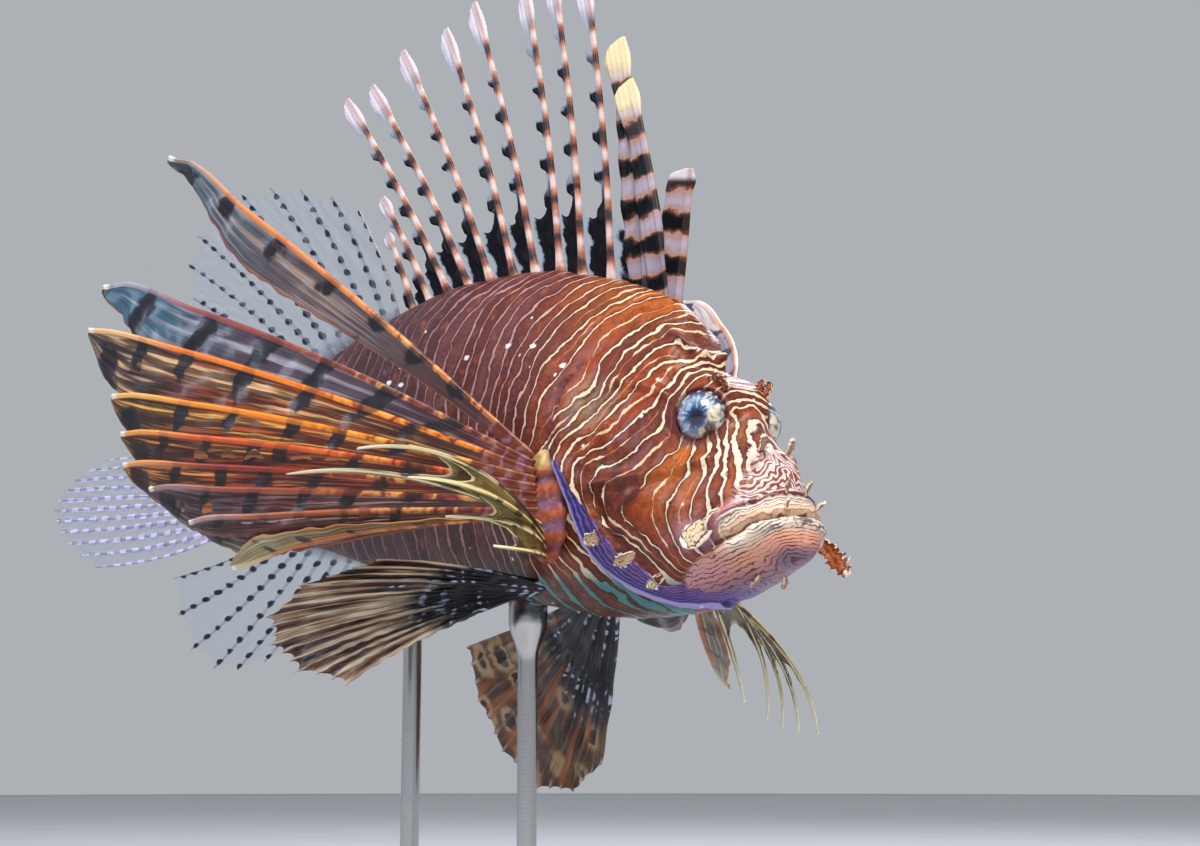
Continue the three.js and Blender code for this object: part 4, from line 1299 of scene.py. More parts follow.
@dataclass
class SpinyDorsal:
    """Thirteen venom spines, each a bony rod with a ragged flag of skin behind it."""

    band_mm: float = 10.8
    start: float = 0.37
    spine: float = 1.05
    sunk: float = 3
    broad_from: float = 5

    def ray(self, i: int, share: float = 1.0) -> Ray:
        """The bony line of a spine.

        Args:
            i: the spine's number.
            share: how much of it is wanted, from its foot.

        Returns:
            The line.
        """
        foot, length, lean, _ = SPINES[i]
        tilt = math.radians(lean)
        root = np.array([foot - 1.5 * math.sin(tilt), 0, float(back_line(foot)) - self.sunk])
        reach = (length + self.sunk) * share
        tip = root + reach * np.array([math.sin(tilt), 0, math.cos(tilt)])
        return Ray(root, tip, np.array([-0.02 * reach, 0, 0]))

    def beside(self, i: int, t: Array) -> Array:
        """Places beside a spine, on the side to which its flag is turned."""
        return self.ray(i).at(t) + [1, SPINE_TWIST[min(i, 3)], 0]

    def flag(self, i: int, t: Array) -> Array:
        """Breadth of a spine's flag, which swells at each dark knob.

        Args:
            i: the spine's number.
            t: share of the way along it.

        Returns:
            The breadth in mm.
        """
        _, length, _, broad = SPINES[i]
        wave = np.cos(2 * math.pi * (t * length / self.band_mm + self.start * i))
        beat = 0.5 + 0.5 * smooth(wave, -0.4, 0.8) if broad < self.broad_from else 1 + 0.05 * wave
        shape = paddle(t) if i else blade(t)
        return np.maximum(broad * shape * np.where(t < 0.84, beat, 1), 0.3)

    def flag_facts(self, i: int, t: Array, s: Array, wide: Array, length: float) -> Facts:
        """Attributes of a spine's flag.

        Args:
            i: the spine's number.
            t: share of the way along it.
            s: mm across it.
            wide: the flag's full breadth there.
            length: the spine's length.

        Returns:
            Attributes by name.
        """
        return {
            "t": t, "along": t * length, "across": s, "free": s / wide, "seed": i * 3.7, "web": 0,
            "phase": t * length / self.band_mm + self.start * i, "broad": SPINES[i][3] > self.broad_from,
            "cap": 1 if i else smooth(t, 0.9, 0.95), "gold": i in (1, 2),
        }

    def web_facts(self, t: Array, number: Array, gap: Array, run: Array) -> Facts:
        """Attributes of the low web."""
        return {
            "t": t, "along": run, "across": gap, "free": number - np.floor(number), "seed": number * 3.7,
            "web": 1, "phase": 0, "broad": 0, "cap": 0, "gold": 0,
        }

    def build(self) -> None:
        """Makes all the spines and the web at their feet as one piece."""
        work = Patchwork("dorsal_spines")
        for i in range(len(SPINES)):
            Vane(
                ray=self.ray(i), beside=partial(self.beside, i),
                lead=lambda t: 0.95 - 0.45 * t + 0.95 * bell(t - 0.92, 0.07) + 1.2 * bell(t, 0.06),
                trail=partial(self.flag, i), crest=lambda t: self.spine * (1 - 0.6 * t),
                steps=120, columns=15, ripple=0.25, ragged=0.02, seed=i,
            ).add(work, partial(self.flag_facts, i))
        RayedWeb(
            tuple(self.ray(i, 0.34) for i in range(len(SPINES))), crest=0.3, web=0.25, notch=0.62,
            steps=36, between=10, ripple=0.2, seed=5,
        ).add(work, self.web_facts)
        finish_piece(work.build(), SpineFinish().material(), "spine", "dorsal_fin_spiny")


@dataclass
class SoftFin:
    """A clear median fin on soft rays, with rows of black dots on the rays."""

    name: str
    rays: tuple[Ray, ...]
    notch: float
    dots: float
    seed: int

    @classmethod
    def median(cls, name: str, rows: tuple, line: Curve, sink: float, bow: float, seed: int) -> "SoftFin":
        """A dorsal or anal fin from rows of root back, tip back and tip up.

        Args:
            name: the solid that it stands for.
            rows: the three measures of each ray.
            line: the edge of the body that it grows from.
            sink: how far the roots lie inside that edge.
            bow: how far up the rays bulge.
            seed: picks its waves.

        Returns:
            The fin.
        """
        rays = tuple(
            Ray(
                np.array([root, 0, float(line(root)) - sink]), np.array([back, 0, up], float),
                np.array([-1, 0, bow]),
            )
            for root, back, up in rows
        )
        return cls(name, rays, 0.95, 1.0, seed)

    @classmethod
    def caudal(cls) -> "SoftFin":
        """The rounded tail fin.

        Returns:
            The fin.
        """
        rays = tuple(
            Ray(
                np.array([TRUNK - 3, 0, 2.4 + 9.4 * level]),
                np.array([297 - 20 * level**2, 0, 17 * level - 3.6]), np.array([0, 0, 2.4 * level]),
            )
            for level in np.linspace(1, -1, 11)
        )
        return cls("caudal_fin", rays, 0.975, 0.0, 9)

    def facts(self, t: Array, number: Array, gap: Array, run: Array) -> Facts:
        """Attributes of the clear web."""
        return {
            "t": t, "number": number, "gap": gap, "along": run, "dots": self.dots, "seed": self.seed * 5.3,
        }

    def build(self) -> None:
        """Makes the fin."""
        work = Patchwork(self.name + "_web")
        RayedWeb(
            self.rays, crest=0.6, web=0.16, notch=self.notch, steps=100, between=13, ripple=0.5,
            seed=self.seed,
        ).add(work, self.facts)
        finish_piece(work.build(), ClearFinFinish().material(), "clear_fin", self.name)


@dataclass(frozen=True)
class VaneLook:
    """The colours of one pectoral vane, and where along it its dark bands lie."""

    low: str
    middle: str
    far: str
    streak: str
    ray: str
    bands: tuple[float, ...]
    wide: float = 0.022
    dark: str = "#120f1e"
    murk: float = 0.85
    rim: str = "#b06a48"
    blunt: float = 2.0


WHIP = VaneLook(
    "#75642c", "#a88e48", "#d9c88c", "#f6f0d0", "#f2e6b0", (0.1, 0.26, 0.42), 0.03, "#4a301a", 0.8,
    "#8a5624",
)
# From the top vane down; the last five are the free whips
FAN_LOOKS = (
    VaneLook(
        "#4a2a2c", "#5a5058", "#3d5f74", "#b09c94", "#e38a4c",
        (0.15, 0.25, 0.34, 0.465, 0.61, 0.775, 0.955), 0.024, murk=0.3, blunt=1.15,
    ),
    VaneLook(
        "#42202a", "#4c4252", "#2f5f78", "#a3a4b8", "#8e4640",
        (0.14, 0.26, 0.39, 0.52, 0.67, 0.845, 0.985), 0.026, murk=0.3, blunt=1.5,
    ),
    VaneLook(
        "#42180e", "#8c421a", "#54464a", "#e8be88", "#ec8028",
        (0.2, 0.29, 0.4, 0.54, 0.69, 0.82), 0.02, blunt=2.6,
    ),
    VaneLook(
        "#521c0e", "#a64e18", "#6c4c30", "#f2b85c", "#f09028",
        (0.24, 0.36, 0.46, 0.61, 0.75), blunt=2.4,
    ),
    VaneLook(
        "#48160f", "#8c3612", "#6c3420", "#f0a048", "#d85a1e",
        (0.21, 0.33, 0.5, 0.57, 0.71, 0.84), dark="#1c0c12", murk=0.9, rim="#7a2c1c",
    ),
    VaneLook(
        "#48160f", "#7a2c18", "#a06230", "#ec9c58", "#8a2f1c",
        (0.27, 0.42, 0.54, 0.66, 0.8), 0.02, "#1c0c12", 0.9, "#c8824c",
    ),
    VaneLook(
        "#301216", "#5a302e", "#524650", "#a07c7c", "#94482f",
        (0.24, 0.38, 0.49, 0.63, 0.78), dark="#120c16", rim="#7a4438",
    ),
    VaneLook(
        "#301216", "#523436", "#5f5658", "#b4968c", "#a45c40",
        (0.31, 0.45, 0.58, 0.7, 0.86), dark="#120c16", rim="#94543c",
    ),
    VaneLook(
        "#4c2814", "#7c5630", "#a09468", "#d9c998", "#c8703a",
        (0.3, 0.5, 0.66, 0.8), 0.02, "#1e141c", 0.5, "#c47a44", 1.5,
    ),
    replace(WHIP, ray="#f4eabc", bands=(0.1, 0.22, 0.36, 0.52), dark="#3c2a18", rim="#80501e"),
    replace(WHIP, ray="#f0e4ae", bands=(0.14, 0.28, 0.44), dark="#3c2a18", rim="#8c5420"),
    VaneLook(
        "#6c5a2a", "#a08440", "#d4c080", "#f4ecc4", "#ecdca0",
        (0.14, 0.28, 0.44), 0.03, "#3c2a18", 0.8, "#8c5420",
    ),
    WHIP,
    WHIP,
)
FAR_TOP_LOOK = VaneLook(
    "#8a7a84", "#a79cb0", "#c9bcc2", "#e9dedd", "#e9a888",
    (0.16, 0.3, 0.42, 0.56, 0.7, 0.96), 0.03, "#2a2c44", 0.4, "#e8a888", 1.6,
)


@dataclass
class Pectoral:
    """A pectoral fin: broad vanes fanned from a fleshy root, and free whips at its foot."""

    rows: tuple
    side: Side
    ray_half: float = 0.95
    top: tuple = (71, 24.5, 13)
    foot: tuple = (65, 23.5, -11)
    pad: tuple = (7.4, 3.2, 14.0)
    pad_lean: float = 13
    pad_moved: tuple = (0.8, -2.7, 0)
    joined: tuple = (0.6, 0.72, 0.85, 0.85, 0.85)
    blotched: tuple = (0, 2, 3, 4, 5, 6, 7)
    folds: int = 14

    def rays(self) -> list[Ray]:
        """The bony lines of all the vanes.

        Returns:
            The lines, from the top one down.
        """
        top, foot = mirror(self.top, self.side), mirror(self.foot, self.side)
        roots = (top + (foot - top) * i / (len(self.rows) - 1) for i in range(len(self.rows)))
        return [
            Ray(root, mirror(tip, self.side), mirror(bow, self.side))
            for root, (tip, bow, _, _) in zip(roots, self.rows)
        ]

    def look(self, i: int) -> VaneLook:
        """The look of a vane; the left fin's top one is paler, with light through it."""
        return FAR_TOP_LOOK if i == 0 and self.side is Side.LEFT else FAN_LOOKS[i]

    def spread(self, i: int, t: Array) -> Array:
        """Breadth along a vane, widest at its peak and blunt at its tip."""
        _, _, width, peak = self.rows[i]
        rising = 0.18 + 0.82 * smooth(t, 0.0, peak)
        falling = 1 - 0.92 * (np.clip(t - peak, 0, 1) / (1 - peak)) ** self.look(i).blunt
        return 0.7 + (width - 0.7) * np.where(t < peak, rising, falling)

    def vane(self, i: int, rays: list[Ray]) -> Vane:
        """The blade of one broad vane.

        Args:
            i: the vane's number.
            rays: the bony lines of them all.

        Returns:
            The blade.
        """
        return Vane(
            ray=rays[i], beside=rays[i + 1].at, trail=partial(self.spread, i),
            lead=lambda t: 0.55 + 0.35 * smooth(t, 0.05, 0.35) - 0.4 * t,
            crest=lambda t: self.ray_half * (0.65 + 0.35 * smooth(t, 0.05, 0.35) - 0.5 * t),
            steps=150, columns=22, ripple=0.4, ragged=0.03, hook=1.5 * (i < 2) + 0.6,
            tuck=-0.09 * self.side, seed=i + 20 * self.side,
        )

    def whip(self, i: int, rays: list[Ray]) -> Vane:
        """The blade of one free whip, which tapers all the way.

        Args:
            i: the whip's number.
            rays: the bony lines of them all.

        Returns:
            The blade.
        """
        width = self.rows[i][2]
        return Vane(
            ray=rays[i], beside=rays[i - 1].at, lead=lambda t: 0.15 + 0.6 * (1 - t) ** 0.7,
            trail=lambda t: 0.15 + 0.28 * width * (1 - t) ** 0.7,
            crest=lambda t: 0.15 + 0.5 * (1 - t) ** 0.7,
            steps=70, columns=14, ripple=0.1, ragged=0.0, seed=i + 20 * self.side,
        )

    def vane_facts(self, i: int, t: Array, s: Array, wide: Array, length: float) -> Facts:
        """Attributes of a vane: its colours, its dark bands and how its streaks run.

        Args:
            i: the vane's number.
            t: share of the way along it.
            s: mm across it.
            wide: its full breadth there.
            length: its ray's length.

        Returns:
            Attributes by name.
        """
        look, is_whip = self.look(i), i >= FREE_FROM
        free = np.clip(s / wide, 0, 1)
        band = sum((bell(t - place - 0.03 * free, look.wide) for place in look.bands), 0 * t)
        band = band * (1.05 - 0.75 * smooth(free, 0.3, 0.75) * (i != 1))
        band = band + 1.2 * bell(t - 0.925, 0.04) * smooth(free, 0.15, 0.4) * (i in self.blotched)
        web = paint(look.low, (look.middle, smooth(t, 0.1, 0.4)), (look.far, smooth(t, 0.55, 0.85)))
        return {
            "t": t, "along": t * length, "across": s * (2.2 if is_whip else 1), "free": free,
            "band": np.clip(band, 0, 1.2), "seed": i * 4.1 + self.side, "murk": look.murk,
            "whip": is_whip, "web_colour": web,
            "ray_colour": paint(look.ray, (look.streak, smooth(t, 0.7, 0.95))),
            "streak_colour": linear(look.streak), "dark_colour": linear(look.dark),
            "rim_colour": linear(look.rim),
        }

    def web_facts(self, t: Array, number: Array, gap: Array, run: Array) -> Facts:
        """Attributes of the clear olive web between the whips.

        Args:
            t: share of the way along the rays.
            number: the ray's number.
            gap: mm to the nearest ray.
            run: mm along the rays.

        Returns:
            Attributes by name.
        """
        look = FAN_LOOKS[FREE_FROM]
        return {
            "t": 0.3 * t, "along": run, "across": gap + 1.5, "free": 0.5 + 0.5 * smooth(t, 0.85, 1),
            "band": 0.52, "seed": number, "murk": 0.1, "whip": 1, "web_colour": linear("#6c5c2c"),
            "ray_colour": linear(look.ray), "streak_colour": linear("#a8985c"),
            "dark_colour": linear(look.dark), "rim_colour": linear(look.ray),
        }

    def build(self) -> None:
        """Makes the vanes, the web that joins the whips near their roots, and the root."""
        rays = self.rays()
        work = Patchwork(f"pectoral_vanes_{self.side.label}")
        for i in range(len(rays)):
            made = self.vane(i, rays) if i < FREE_FROM else self.whip(i, rays)
            made.add(work, partial(self.vane_facts, i))
        RayedWeb(
            tuple(ray.lower(share) for ray, share in zip(rays[FREE_FROM:], self.joined)), crest=0.2,
            web=0.14, notch=0.68, steps=44, between=12, ripple=0.5, seed=60 + self.side,
        ).add(work, self.web_facts)
        finish_piece(work.build(), FanFinish().material(), "fan_fin", f"pectoral_fin_{self.side.label}")
        self.build_root()

    def build_root(self) -> None:
        """The fleshy root, a low pad of skin in folds that the vanes leave in rows.

        It is an ellipsoid whose breadth beats a little with the folds, leaned to the gill.
        Its colour carries painted shade in the grooves and painted highlights on the folds and top.
        """
        height = -np.cos(np.linspace(0.02, math.pi - 0.02, 60))[:, None]
        angle = np.linspace(0, 2 * math.pi, 56, endpoint=False)[None]
        beat = np.cos(self.folds * np.arccos(height))
        radius = np.sqrt(1 - height**2) * (1 + 0.05 * beat)
        ahead, out, up = self.pad
        x, y = ahead * radius * np.cos(angle), out * radius * np.sin(angle)
        z = up * height * np.ones_like(angle)
        lean = math.radians(self.pad_lean)
        turned = [x * math.cos(lean) + z * math.sin(lean), y, z * math.cos(lean) - x * math.sin(lean)]
        middle = (mirror(self.top, self.side) + mirror(self.foot, self.side)) / 2
        grid = np.stack(turned, axis=-1) + (middle + mirror(self.pad_moved, self.side))
        rib, level = 0.5 + 0.5 * beat * np.ones_like(angle), grid[..., 2]
        # Painted shade: dark red-brown in the grooves between the folds, orange where each fold swells
        # out.
        ground = paint(
            # Painted highlights: a lilac sheen across the middle, between the folds, and pale cream along
            # the top of the pad.
            "#4c1814", ("#b4582a", rib * 0.9), ("#94739c", bell(level + 2, 6) * (1 - rib) * 0.8),
            ("#ecd28c", smooth(level, 8.5, 12.5) * 0.85),
        )
        work = Patchwork(f"pectoral_root_{self.side.label}")
        work.tube(grid, {"ground": ground})
        finish_piece(work.build(), RootFinish().material(), "skin")


@dataclass
class Pelvic:
    """A pelvic fin: dark at its base, with cream and brown streaked ray tips."""

    tips: tuple
    side: Side
    foot: float = -18
    bow: tuple[float, float, float] = (0, 2, 2)
    notch: float = 0.95

    def facts(self, t: Array, number: Array, gap: Array, run: Array) -> Facts:
        """Attributes of the dark fin; the left one shows its mottled inner side."""
        return {"t": t, "number": number, "gap": gap, "along": run, "mottle": self.side is Side.LEFT}

    def build(self) -> None:
        """Makes the fin."""
        rays = tuple(
            Ray(
                np.array([75 + 1.6 * i, self.side * (9 - 0.5 * i), self.foot]),
                mirror(tip, self.side), mirror(self.bow, self.side),
            )
            for i, tip in enumerate(self.tips)
        )
        work = Patchwork(f"pelvic_web_{self.side.label}")
        RayedWeb(
            rays, crest=0.8, web=0.26, notch=self.notch, steps=110, between=24, branches=3, ripple=0.7,
            seed=30 + self.side,
        ).add(work, self.facts)
        finish_piece(
            work.build(), DarkFinFinish().material(), "dark_fin", f"pelvic_fin_{self.side.label}"
        )


class SpineFinish:
    """Real spine flags: thin wet skin over bone, banded rust and lilac white with navy blotches."""

    def material(self) -> Material:
        """Makes the finish from the place along and across each flag.

        Returns:
            The material.
        """
        s = Surface("spine_flags", Roughness=0.45, IOR=1.4, Coat_Weight=0.05)
        # A place is in mm, so that a texture's scale on it is one over its grain in mm
        place = s.add("CombineXYZ", "along", "across", "seed")
        noise = s.add("TexNoise", Vector=place, Scale=0.3, Detail=3)
        phase = s.add("SUBTRACT", s.add("MULTIPLY_ADD", noise, 0.5, "phase"), 0.25)
        cycle = s.add("PINGPONG", phase, 0.5)
        rod = s.add("ValToRGB", s.add("MULTIPLY", cycle, 2), stops=(
            (0.12, "#381a18"), (0.3, "#7c402c"), (0.52, "#a86e56"), (0.7, "#c8a497"), (0.92, "#d6c2c2"),
        ))
        broad = s.add("ValToRGB", s.add("MULTIPLY", cycle, 2), stops=(
            (0.3, "#22100f"), (0.44, "#6e3a22"), (0.52, "#a88478"), (0.9, "#a99eb4"),
        ))
        off = s.add("MapRange", "across", 0.75, 1.15)
        knob = s.add("MapRange", cycle, 0.24, 0.12, 0, off)
        knob = s.add("MapRange", "t", 0.82, 0.7, 0, knob)
        low = s.add("MapRange", "t", 0.36, 0.28, 0, off)
        low = s.add("MULTIPLY", low, s.add("SUBTRACT", 1, "broad"))
        flagged = s.add("SUBTRACT", 1, "web")
        knob = s.add("MULTIPLY", s.add("MAXIMUM", knob, low), flagged)
        split = s.add("MapRange", s.add("MULTIPLY_ADD", noise, 0.5, "free"), 0.95, 0.85)
        dark = s.add("MAXIMUM", knob, s.add("MULTIPLY", split, "web"))
        tip = s.add("MULTIPLY", s.add("MapRange", "t", 0.83, 0.9, 0, 0.9), "cap")
        gold = s.add("MULTIPLY", tip, "gold")
        midline = s.add("MapRange", s.add("ABSOLUTE", "across"), 0.9, 0.4, 0, 0.6)
        web = s.add("Mix", "broad", "#8fa2c4", broad)
        cap = s.add("Mix", midline, "#d4cdda", "#a87a70")
        colour = s.add("Mix", "broad", rod, broad)
        for share, over in ((off, web), (dark, "#06070f"), (tip, cap), (gold, "#dfcfa2")):
            colour = s.add("Mix", share, colour, over)
        on_rod = s.add("SUBTRACT", s.add("SUBTRACT", 1, off), "web", use_clamp=True)
        solid = s.add("MAXIMUM", s.add("MAXIMUM", on_rod, dark), tip)
        veiled = s.add("MULTIPLY", s.add("MapRange", cycle, 0.24, 0.3, 1, 0.62), "broad")
        alpha = s.add("MapRange", s.add("MAXIMUM", solid, veiled), 0, 1, 0.14)
        shine = s.add("MapRange", dark, 0, 1, 0.45, 0.1)
        rays = s.add("TexWave", Vector=place, Scale=0.22, Distortion=1.5, out="Fac", bands_direction="Y")
        normal = s.add("Bump", Height=rays, mm=0.12)
        return s.wire(Base_Color=colour, Alpha=alpha, Specular_IOR_Level=shine, Normal=normal)


class FanFinish:
    """Real pectoral web: translucent skin on bony rays, streaked along and banded across; its fleshy base
    carries painted violet highlights.
    """

    def material(self) -> Material:
        """Makes the finish from each vane's own colours and bands.

        Returns:
            The material.
        """
        s = Surface("fan_web", Roughness=0.4, IOR=1.4, Coat_Weight=0.25)
        place = s.add("CombineXYZ", "along", "across", "seed")
        long = s.add("Mapping", Vector=s.add("CombineXYZ", "along", "free", "seed"), Scale=(0.022, 7, 1))
        ragged = s.add("TexNoise", Vector=place, Scale=0.22, Detail=2)
        fine = s.add("TexNoise", Vector=long, Scale=1.9, Detail=2)
        light = s.add("MapRange", s.add("TexNoise", Vector=long, Scale=0.9, Detail=2), 0.5, 0.62, 0, 0.8)
        light = s.add("MULTIPLY", light, s.add("MapRange", "t", 0.1, 0.5, 0.25))
        murk = s.add("MapRange", fine, 0.44, 0.53, 0, "murk")
        rim = s.add("MapRange", "free", 0.9, 0.98, 0, 0.8)
        band = s.add("MULTIPLY_ADD", ragged, 2, "band")
        band = s.add("MapRange SMOOTHSTEP", band, 1.4, 1.8, 0, 0.96)
        plain = s.add("SUBTRACT", 1, "whip")
        rib = s.add("MapRange", s.add("ABSOLUTE", "across"), 1, 0.55)
        fold = s.add("MULTIPLY_ADD", ragged, 7, "along")
        # Painted highlights: pale violet streaks over the dark red flesh at the base of the broad vanes.
        violet_sheen = s.add("MapRange", s.add("PINGPONG", fold, 2.1), 1.2, 1.9, 0, 0.7)
        flesh_and_sheen = s.add("Mix", violet_sheen, "#6a2618", "#9a7088")
        near = s.add("MULTIPLY", s.add("MapRange", fold, 20, 12, 0, 0.85), plain)
        tip = s.add("MapRange", "t", 0.975, 0.99, 0, rib)
        colour = "web_colour"
        for share, over in (
            (light, "streak_colour"), (murk, "#241012"), (rim, "rim_colour"), (band, "dark_colour"),
            (rib, self.bone(s, ragged, band, plain)), (near, flesh_and_sheen), (tip, "#f6f0e4"),
        ):
            colour = s.add("Mix", share, colour, over)
        solid = s.add("MAXIMUM", s.add("MAXIMUM", rib, band), "murk")
        alpha = s.add("MapRange", solid, 0, 0.3, 0.6, 0.95)
        return s.wire(Base_Color=colour, Alpha=alpha, Normal=s.add("Bump", Height=fine, mm=0.15))

    @staticmethod
    def bone(s: Surface, ragged: Socket, band: Socket, plain: Socket) -> Socket:
        """A bony ray, beaded yellow and red near its root and dark under the bands.

        Args:
            s: the material being made.
            ragged: noise that frays the beads.
            band: share of the dark bands.
            plain: 1 on the broad vanes and 0 on the whips.

        Returns:
            The colour.
        """
        basal = s.add("MapRange", "t", 0.5, 0.25, 0, plain)
        beat = s.add("MULTIPLY_ADD", ragged, 24, s.add("MULTIPLY_ADD", "seed", 1.7, "along"))
        beat = s.add("PINGPONG", beat, 4.5)
        yellow = s.add("MULTIPLY", s.add("MapRange", beat, 2.7, 4.2, 0, 0.6), basal)
        red = s.add("MULTIPLY", s.add("MapRange", beat, 2.2, 0.9, 0, 0.85), basal)
        shade = s.add("MULTIPLY", band, s.add("MapRange", "t", 0.6, 0.2, 0.25, 0.9))
        colour = "ray_colour"
        for share, over in ((yellow, "#eebc60"), (red, "#561a16"), (shade, "dark_colour")):
            colour = s.add("Mix", share, colour, over)
        return colour


@dataclass(frozen=True)
class ClearFinFinish:
    """Real soft fins: clear glassy web, pale rays, black dots in rows along the rays."""

    dot_mm: float = 5.2

    def material(self) -> Material:
        """Makes the finish from the distance along and beside each ray.

        Returns:
            The material.
        """
        s = Surface("clear_web", Roughness=0.35, IOR=1.38, Coat_Weight=0.2)
        along = s.add("ADD", "along", s.add("MULTIPLY", s.add("ROUND", "number"), 2.6))
        along = s.add("MULTIPLY_ADD", s.add("TexNoise", mm=50 / 9), 3, along)
        cycle = s.add("PINGPONG", along, self.dot_mm / 2)
        reach = s.add("VectorMath LENGTH", s.add("CombineXYZ", cycle, "gap"), out="Value")
        low = s.add("MapRange", "t", 0.03, 0.16)
        dot = s.add("MapRange", reach, 1.4, 1.1, 0, "dots")
        dot = s.add("MULTIPLY", dot, low)
        ray = s.add("MapRange", "gap", 0.75, 0.3)
        square = s.add("MapRange", cycle, 1, 1.4)
        square = s.add("MapRange", "gap", 1.15, 0.95, 0, square)
        square = s.add("MULTIPLY", square, s.add("SUBTRACT", 1, "dots"))
        square = s.add("MULTIPLY", square, low)
        foot = s.add("MapRange", "t", 0.14, 0)
        colour, solid = "#8ea4c4", s.add("MULTIPLY", ray, 0.45)
        for share, over in ((ray, "#7c86a0"), (square, "#c3bce6"), (foot, "#4c3436"), (dot, "#0d0f1c")):
            colour = s.add("Mix", share, colour, over)
        for part in (dot, foot, square):
            solid = s.add("MAXIMUM", solid, part)
        alpha = s.add("MapRange", solid, 0, 1, 0.1, 0.97)
        normal = s.add("Bump", Height=s.add("TexNoise", mm=2), mm=0.1)
        return s.wire(Base_Color=colour, Alpha=alpha, Normal=normal)


class DarkFinFinish:
    """Real pelvic web: near black at its base, cream and brown streaks and spots to its tips."""

    def material(self) -> Material:
        """Makes the finish from the place along and between the rays.

        Returns:
            The material.
        """
        s = Surface("dark_web", Roughness=0.45, IOR=1.4, Coat_Weight=0.2)
        place = s.add("CombineXYZ", "along", "number", "mottle")
        long = s.add("Mapping", Vector=place, Scale=(0.05, 2.6, 4))
        streak = s.add("TexNoise", Vector=long, Scale=1, Detail=1.5)
        ray = s.add("MapRange", "gap", 0.7, 0.3, 0, 0.35)
        faint = s.add("MINIMUM", ray, s.add("MULTIPLY_ADD", "mottle", -0.22, 0.35))
        slant = s.add("MULTIPLY_ADD", s.add("MULTIPLY", "number", "mottle"), 0.09, "t")
        slant = s.add("MULTIPLY_ADD", "mottle", -0.22, slant)
        dark = s.add("MapRange", s.add("MULTIPLY_ADD", streak, 0.5, slant), 0.86, 0.7)
        bead = s.add("MULTIPLY_ADD", s.add("TexNoise", mm=7), 14, "along")
        bead = s.add("CombineXYZ", s.add("MULTIPLY", s.add("PINGPONG", bead, 2.1), 0.6), "gap")
        bead = s.add("MapRange", s.add("VectorMath LENGTH", bead, out="Value"), 0.75, 0.45)
        gone = s.add("MapRange", s.add("TexNoise", mm=6), 0.48, 0.56)
        bead = s.add("MULTIPLY", s.add("MULTIPLY", bead, dark), gone)
        tip = s.add("MapRange", "t", 0.95, 0.99, 0, ray)
        colour = self.streaked(s, streak)
        for share, over in (
            ("mottle", self.spotted(s, place, streak)), (faint, "#cdb494"), (dark, "#0f0e1a"),
            (bead, "#aebcd8"), (tip, "#f6efe4"),
        ):
            colour = s.add("Mix", share, colour, over)
        return s.wire(Base_Color=colour, Normal=s.add("Bump", Height=streak, mm=0.3))

    @staticmethod
    def streaked(s: Surface, streak: Socket) -> Socket:
        """The right fin's cream and brown, paler over the rays.

        Args:
            s: the material being made.
            streak: noise drawn out along the rays.

        Returns:
            The colour.
        """
        shade = s.add("MULTIPLY_ADD", streak, 0.9, s.add("MapRange", "gap", 1.5, 0.1, 0, 0.34))
        return s.add("ValToRGB", shade, stops=(
            (0.4, "#241614"), (0.52, "#6e4a3a"), (0.64, "#b49478"), (0.8, "#ece0ca"),
        ))

    @staticmethod
    def spotted(s: Surface, place: Socket, streak: Socket) -> Socket:
        """The left fin's brown spots in tan rings, rusty and dark in streaks.

        Args:
            s: the material being made.
            place: mm along, the ray's number and the side.
            streak: noise drawn out along the rays.

        Returns:
            The colour.
        """
        cells = s.add("Mapping", Vector=place, Scale=(0.13, 0.95, 4))
        spots = s.add("TexVoronoi", Vector=cells, Scale=1, out="Distance")
        cloud = s.add("TexNoise", Vector=place, Scale=0.35, Detail=2)
        for noise, share in ((streak, 0.35), (cloud, 0.4)):
            spots = s.add("MULTIPLY_ADD", noise, share, spots)
        colour = s.add("ValToRGB", spots, stops=(
            (0.5, "#120a0e"), (0.58, "#2a1610"), (0.65, "#b09068"), (0.74, "#a88a60"), (0.84, "#6a4428"),
            (1, "#48291a"),
        ))
        colour = s.add("Mix", s.add("MapRange", streak, 0.53, 0.64, 0, 0.75), colour, "#9c5226")
        return s.add("Mix", s.add("MapRange", streak, 0.44, 0.36, 0, 0.6), colour, "#24120c")


class RootFinish:
    """Real fin root: wet orange-red skin stretched in folds over the bases of the rays, on a ground colour
    that carries painted shade and highlights.
    """

    def material(self) -> Material:
        """Makes the finish.

        Returns:
            The material.
        """
        s = Surface("fin_root", Roughness=0.45, IOR=1.38, Coat_Weight=0.15)
        blotch = s.add("MapRange", s.add("TexNoise", mm=3, Detail=4, Distortion=0.8), 0.42, 0.58, 0, 0.4)
        glow = s.add("MapRange", s.add("TexNoise", mm=2, Detail=3), 0.56, 0.66, 0, 0.25)
        colour = s.add("Mix", glow, s.add("Mix", blotch, "ground", "#6a2418"), "#d8925c")
        folds = s.add("Bump", Height=s.add("TexNoise", mm=1.6, Detail=3), mm=0.3)
        return s.wire(Base_Color=colour, Normal=folds)


# Eyes and skin flaps


